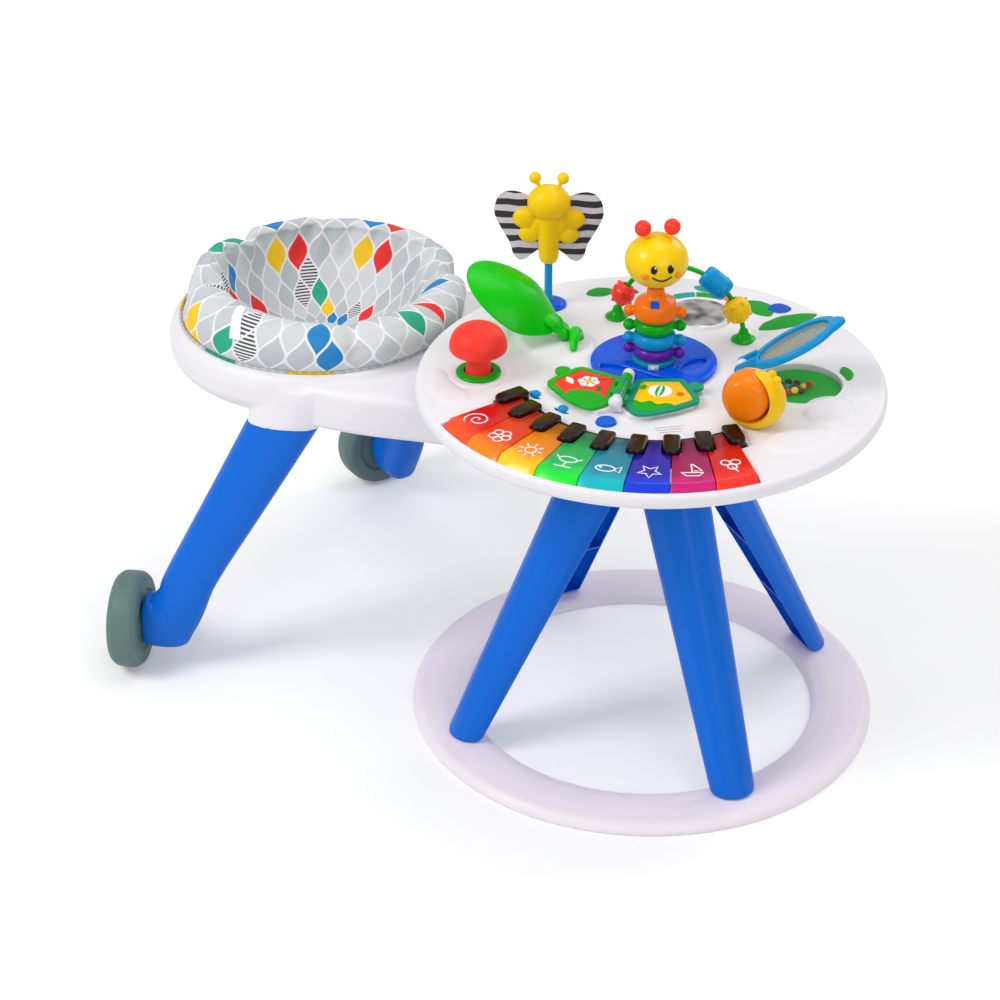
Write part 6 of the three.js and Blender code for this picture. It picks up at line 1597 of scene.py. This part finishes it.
class CENTRE_OT_walker(bpy.types.Operator):
    """Builds the moulded seat shell with its arm, the legs, the wheels and the swivel ring"""
    bl_idname = "centre.walker"
    bl_label = "Walker"

    def execute(self, context):
        white = "white_polypropylene"
        dress(put(self.shell(), walker_spot()), white, "walker", "walker_shell", smooth=35)
        for side, word in ((1, "left"), (-1, "right")):
            stations = smooth_line(LEG_STATIONS, 5)
            leg = grid(f"walker_leg_{word}_shape", [leg_section(side, *station) for station in stations])
            leg = put(bevelled(leg, 1.6, 3, 50), walker_spot())
            dress(leg, "blue_polypropylene", "walker", f"walker_leg_{word}", smooth=45)
            self.wheel(side, word)
        section = rounded([(146, 424.4), (150, 424.4), (150, 436.4), (185.6, 436.4), (185.6, 441.9),
                           (146, 441.9)], 1.2, 3, closed=True)
        ring = put(lathe("seat_ring_shape", section + section[:1], 144), seat_spot())
        dress(ring, white, "seat", "seat_ring")
        return {"FINISHED"}

    def shell(self):
        """The bowl and the arm, hollow from below, with cross ribs and a block for each leg."""
        seat = moved(-SEAT_DISTANCE, 0)
        bowl = rounded([(0, 376), (177, 376), (199, 389), (204.6, 404), (203.6, 409), (205, 418), (201, 434),
                        (190.6, 444.4), (0, 444.4)], 7, 5)
        parts = [put(lathe("bowl", bowl, 160), seat), slab("arm", arm_outline(0), 376, 434, 11, 7, 6)]
        parts += [grid("boss", boss_rows(side, 371.2, 425, 3)) for side in (-1, 1)]
        shell = fused("walker_shell_shape", parts, 2.6 * MM, 6)
        hollow = slab("hollow", arm_outline(7.5), 360, 430.8, 3)
        under = [(0, 366), (172, 366), (172, 380), (193.5, 394.5), (199.4, 415.7), (196, 428), (0, 428)]
        boolean(hollow, "UNION", put(lathe("bowl_hollow", under, 120), seat))
        keep = [slab("rib", [(x - 1.5, -200), (x + 1.5, -200), (x + 1.5, 200), (x - 1.5, 200)], 376.2, 436)
                for x in (-95, -155, -215, -275)]
        keep += [put(plug("seat_tube", 156, 376.2, 434, 144), seat), plug("collar", 62.5, 350, 436, 96)]
        keep += [grid("boss", boss_rows(side, 350, 436, 2.6)) for side in (-1, 1)]
        boolean(hollow, "DIFFERENCE", *keep)
        boolean(shell, "DIFFERENCE", hollow)
        hole = dish("seat_hole", oval(0, 0, 151.2, 151.2, 144), 340, 436, 1.5)
        ledge = dish("ledge", oval(0, 0, 187, 187, 160), 436, 444.4, 1.8)
        cuts = [put(hole, seat), put(ledge, seat), dish("bore", oval(0, 0, 58.35, 58.35, 96), 340, 434, 1.5)]
        cuts += [grid("socket", boss_rows(side, 340, 384.7, FIT)) for side in (-1, 1)]
        return boolean(shell, "DIFFERENCE", *cuts)

    def wheel(self, side, word):
        """A moulded wheel with a sunk disc and a raised hub on both faces, on its steel axle."""
        # One face's profile, in shares of the radius and the width. The other face mirrors it.
        face = [(0, 0.08), (0.2, 0.08), (0.24, 0.02), (0.30, 0.02), (0.34, 0.1), (0.62, 0.1), (0.66, 0),
                (0.9, 0), (1, 0.22)]
        shares = face + [(1, 0.5)] + [(r, 1 - h) for r, h in reversed(face)]
        profile = rounded([(WHEEL_RADIUS * r, WHEEL_WIDTH * (h - 0.5)) for r, h in shares], 4, 4)
        tyre = bored(lathe(f"wheel_{word}_shape", profile, 112), 6.35, -40, 40)
        reach = turned(180 - side * WHEEL_TURN) @ moved(WHEEL_TRACK, 0, WHEEL_RADIUS) @ turned(90, "Y")
        put(tyre, walker_spot() @ reach)
        dress(tyre, "wheel_polyethylene", f"wheel_{word}", f"wheel_{word}", smooth=35)
        carried(f"wheel_axle_{word}", metal("drawn_steel"), 0.8, "steel", steps=3)


# Seat pad
PAD_FOOT = 443
WALL_MIDDLE = 127
# Upper side of the pad, from its rim to its middle: a fat roll on one side and a high wall on the other.
ROLL = [(184.6, 442.8), (189.5, 449), (192, 458), (191.5, 470), (187, 482), (177, 491), (163, 496.5),
        (147, 498), (131, 496), (117, 489), (108.5, 478), (106.5, 465), (110, 450), (114, 434), (107, 411),
        (90, 397), (60, 390), (1, 387.5)]
WALL = [(184.6, 442.8), (187.6, 449), (190, 460), (190.8, 472), (189.6, 482), (186.4, 488), (181, 491),
        (175, 490), (169, 485.4), (165, 480), (160, 468), (154, 455), (146, 444), (137, 432), (126, 416),
        (110, 402), (90, 393.5), (60, 390)]
UNDER = [(1, 380.2), (30, 380.4), (62, 382), (94, 386.4), (118, 396), (134, 410), (142, 424), (143.6, 434),
         (145, 441), (150, 442.4), (166, 442.5)]
# Places where the padding is sewn down: angle, half width in degrees and depth.
PINCHES = [(212, 7, 0.8), (46, 7, 0.6), (318, 6, 0.3), (168, 5, 0.35)]


def pad_rows(columns, shrink):
    """Rows of points round the seat: the upper side from the rim inward, then the under side outward."""
    rows = [[] for _ in range(len(ROLL) * 2 - 1 + len(UNDER))]
    for k in range(columns):
        turn = 360 * k / columns
        a = radians(turn)
        wall = 0.5 + 0.5 * cos(radians(turn - WALL_MIDDLE))
        wall = wall * wall * (3 - 2 * wall)
        back = -cos(a)
        apart = [((turn - at + 180) % 360 - 180, width, depth) for at, width, depth in PINCHES]
        pinch = sum(depth * exp(-(gap / width) ** 2) for gap, width, depth in apart)
        mixed = [tuple(Vector(r) * (1 - wall) + Vector(w) * wall) for r, w in zip(ROLL, WALL)]
        fine = smooth_line(mixed, 2)
        for index, (radius, z) in enumerate(fine + UNDER):
            upper = index < len(fine)
            share = max(0.0, min(1.0, (z - PAD_FOOT - 1) / 30)) if upper else 0.0
            lift = z - PAD_FOOT
            lift *= 1.0 + 0.1 * back + 0.2 * wall if lift > 0 else 1.0
            ripple = noise.noise(Vector((4.2 * cos(a), 4.2 * sin(a), radius / 45)))
            pleat = noise.noise(Vector((9 * cos(a), 9 * sin(a), z / 120 + 5)))
            pleat *= (1.0 if radius < 168 else 0.35) * (0.4 + wall)
            crease = sum(depth * exp(-(gap / 21) ** 2) * sin(0.6 * gap + radius / 15)
                         for gap, width, depth in apart)
            reach = radius + share * (4.2 * ripple * (1 - 0.6 * wall) + 6.5 * pleat)
            reach -= share * shrink * (1 if radius > 165 else -0.6)
            if upper and radius > 108:
                reach -= pinch * share * (radius - 118) * 0.5
            height = PAD_FOOT + lift * (1 - 0.34 * pinch * share)
            height += share * (2.6 * ripple * (1 - 0.7 * wall) + 2.4 * crease - shrink)
            lean = 12 * max(0.0, min(1.0, (z - PAD_FOOT) / 44)) if upper else 0
            rows[index].append(Vector((reach * cos(a) + lean, reach * sin(a), height)) * MM)
    return rows + rows[:1]


class CENTRE_OT_seat(bpy.types.Operator):
    """Builds the padded seat with its folds, its piping, its seam and its blank tag"""
    bl_idname = "centre.seat"
    bl_label = "Padded seat"

    def execute(self, context):
        columns = 224
        rows = pad_rows(columns, 2.5)
        skin = grid("seat_pad_shape", rows, ends=False)
        self.map_print(skin, rows, columns)
        self.swell(skin)
        self.leg_holes(skin)
        put(skin, seat_spot())
        modified(skin, "SUBSURF", levels=1, render_levels=1)
        dress(skin, seat_cloth(), "seat", "seat_pad", smooth=80)
        self.tag(skin)
        angles = [2 * pi * k / 180 for k in range(180)]
        line = [(188.4 * cos(a), 188.4 * sin(a), 444.6) for a in angles]
        welt = tube("seat_piping", line, 2.1, 14, closed=True)
        dress(put(welt, seat_spot()), piping_cloth(), "seat", smooth=60)
        return {"FINISHED"}

    def map_print(self, skin, rows, columns):
        """Lays the print on by the distance run inward and the angle round the seat."""
        layer = skin.data.uv_layers.new(name="print")
        around, inward = 1170 / (sizes().leaf_width / MM), sizes().leaf_height / MM
        run = [0.0]
        for before, after in zip(rows, rows[1:]):
            run.append(run[-1] + sum((a - b).length for a, b in zip(after, before)) / columns / MM)
        places = {}
        for r, row in enumerate(rows[:-1]):
            for c, point in enumerate(row):
                places[tuple(round(x, 6) for x in point)] = (c / columns, run[r])
        mesh = skin.data
        for polygon in mesh.polygons:
            corners = [places[tuple(round(x, 6) for x in mesh.vertices[mesh.loops[i].vertex_index].co)]
                       for i in polygon.loop_indices]
            wraps = max(c[0] for c in corners) - min(c[0] for c in corners) > 0.5
            for i, (share, far) in zip(polygon.loop_indices, corners):
                share += 1 if wraps and share < 0.5 else 0
                layer.data[i].uv = (share * round(around), far / inward)

    def swell(self, skin):
        """A light pressure fills the padding between its sewn lines."""
        before = [v.co.copy() for v in skin.data.vertices]
        group = skin.vertex_groups.new(name="sewn")
        for vertex in skin.data.vertices:
            radius, z = vertex.co.xy.length / MM, vertex.co.z / MM
            if z < PAD_FOOT + 1.5 or radius < 128:
                group.add([vertex.index], 1.0, "REPLACE")
        only(skin)
        cloth = skin.modifiers.new("Cloth", "CLOTH")
        settings = {"vertex_group_mass": "sewn", "use_pressure": True, "uniform_pressure_force": 3.0,
                    "quality": 5, "mass": 0.25, "tension_stiffness": 12, "compression_stiffness": 8,
                    "bending_stiffness": 0.6}
        for key, value in settings.items():
            setattr(cloth.settings, key, value)
        cloth.settings.effector_weights.gravity = 0.0
        cloth.collision_settings.use_self_collision = False
        cloth.collision_settings.use_collision = False
        cloth.point_cache.frame_start, cloth.point_cache.frame_end = 1, 20
        for moment in range(1, 21):
            bpy.context.scene.frame_set(moment)
        bpy.ops.object.modifier_apply(modifier=cloth.name)
        bpy.context.scene.frame_set(1)
        skin.vertex_groups.clear()
        farthest = 7 * MM
        for vertex, start in zip(skin.data.vertices, before):
            move = vertex.co - start
            if move.length > farthest:
                vertex.co = start + move.normalized() * farthest

    def tag(self, skin):
        """A blank sewn label that lies on the roll."""
        rows = []
        for i in range(15):
            v = i / 14
            upper, lower = [], []
            for j in range(8):
                turn = radians(257 + 11 * v + 5.6 * (j / 7 - 0.5))
                radius = 138 + 48 * v
                above = seat_spot() @ (
                    Vector((radius * cos(turn) + 6, radius * sin(turn), 560)) * MM)
                _, place, normal, _ = skin.ray_cast(above, (0, 0, -1))
                upper.append(place + normal * 1.3 * MM)
                lower.append(place + normal * 0.5 * MM)
            rows.append(upper + lower[::-1])
        label = grid("seat_tag", rows)
        dress(label, "satin_tape", "seat", smooth=50)

    def leg_holes(self, skin):
        """Two round holes through the pad's floor, in front of its middle."""
        for side in (-1, 1):
            hole = put(plug("leg_hole", 44, 360, 432, 64), moved(62, side * 62))
            modified(skin, "BOOLEAN", operation="DIFFERENCE", object=hole, solver="EXACT")
            bpy.data.objects.remove(hole)


def piping_cloth():
    """Woven cotton tape, printed in two pale tones, over a cord."""
    material, tree, shader, place = new_material("piping_tape")
    centred = node(tree, "VectorMath", {0: place, 1: (-SEAT_X * MM, 0, 0)}, operation="ADD")
    turn = node(tree, "TexGradient", {"Vector": centred}, gradient_type="RADIAL")
    step = node(tree, "Math", {0: turn, 1: 620.0}, operation="MULTIPLY")
    rib = node(tree, "Math", {0: step}, operation="SINE")
    tape = node(tree, "Mix", {0: rib, 6: linear("CDD2D6"), 7: linear("E6E8EA")}, data_type="RGBA")
    # Bits of the print show where the tape was cut across a coloured leaf.
    ramp_out = node(tree, "ValToRGB", {0: turn})
    ramp = ramp_out.node.color_ramp
    ramp.interpolation = "CONSTANT"
    plain = linear("DDE1E4")
    for start, end, value in ((0.06, 0.1, "FFD000"), (0.2, 0.25, "02A886"), (0.31, 0.36, "FFD000"),
                              (0.55, 0.58, "F0322E"), (0.8, 0.83, "0A8CCB")):
        ramp.elements.new(start).color = linear(value)
        ramp.elements.new(end).color = plain
    ramp.elements[0].color = ramp.elements[-1].color = plain
    tone = node(tree, "Mix", {0: 1.0, 6: tape, 7: ramp_out},
                data_type="RGBA", blend_type="MULTIPLY")
    fine = node(tree, "TexNoise", {"Vector": place, "Scale": 1 / (0.8 * MM), "Detail": 2.0})
    bump = node(tree, "Bump", {"Height": fine, "Strength": 0.5, "Distance": 0.3 * MM})
    set_shader(shader, Base_Color=tone, Normal=bump, Roughness=0.8, Sheen_Weight=0.2)
    return material


class CENTRE_PT_panel(bpy.types.Panel):
    """Sizes, colours and the buttons that build the groups"""
    bl_label = "Baby activity center"
    bl_idname = "CENTRE_PT_panel"
    bl_space_type = "VIEW_3D"
    bl_region_type = "UI"
    bl_category = "Activity center"

    def draw(self, context):
        for settings in (context.scene.centre_sizes, context.scene.centre_colours):
            for key in settings.__annotations__:
                self.layout.prop(settings, key)
        for operator in OPERATORS:
            self.layout.operator(operator.bl_idname)


OPERATORS = (CENTRE_OT_table, CENTRE_OT_keyboard, CENTRE_OT_left_toys, CENTRE_OT_tower, CENTRE_OT_book,
             CENTRE_OT_right_toys, CENTRE_OT_walker, CENTRE_OT_seat, CENTRE_OT_stage)
CLASSES = (SizeSettings, ColourSettings, *OPERATORS, CENTRE_PT_panel)


def register():
    for kind in CLASSES:
        bpy.utils.register_class(kind)
    bpy.types.Scene.centre_sizes = PointerProperty(type=SizeSettings)
    bpy.types.Scene.centre_colours = PointerProperty(type=ColourSettings)


def unregister():
    del bpy.types.Scene.centre_colours
    del bpy.types.Scene.centre_sizes
    for kind in reversed(CLASSES):
        bpy.utils.unregister_class(kind)


def main():
    register()
    bpy.ops.centre.stage()
    bpy.ops.centre.table()
    bpy.ops.centre.keyboard()
    bpy.ops.centre.left_toys()
    bpy.ops.centre.tower()
    bpy.ops.centre.book()
    bpy.ops.centre.right_toys()
    bpy.ops.centre.walker()
    bpy.ops.centre.seat()
    clear_selection()


if __name__ == "__main__":
    main()
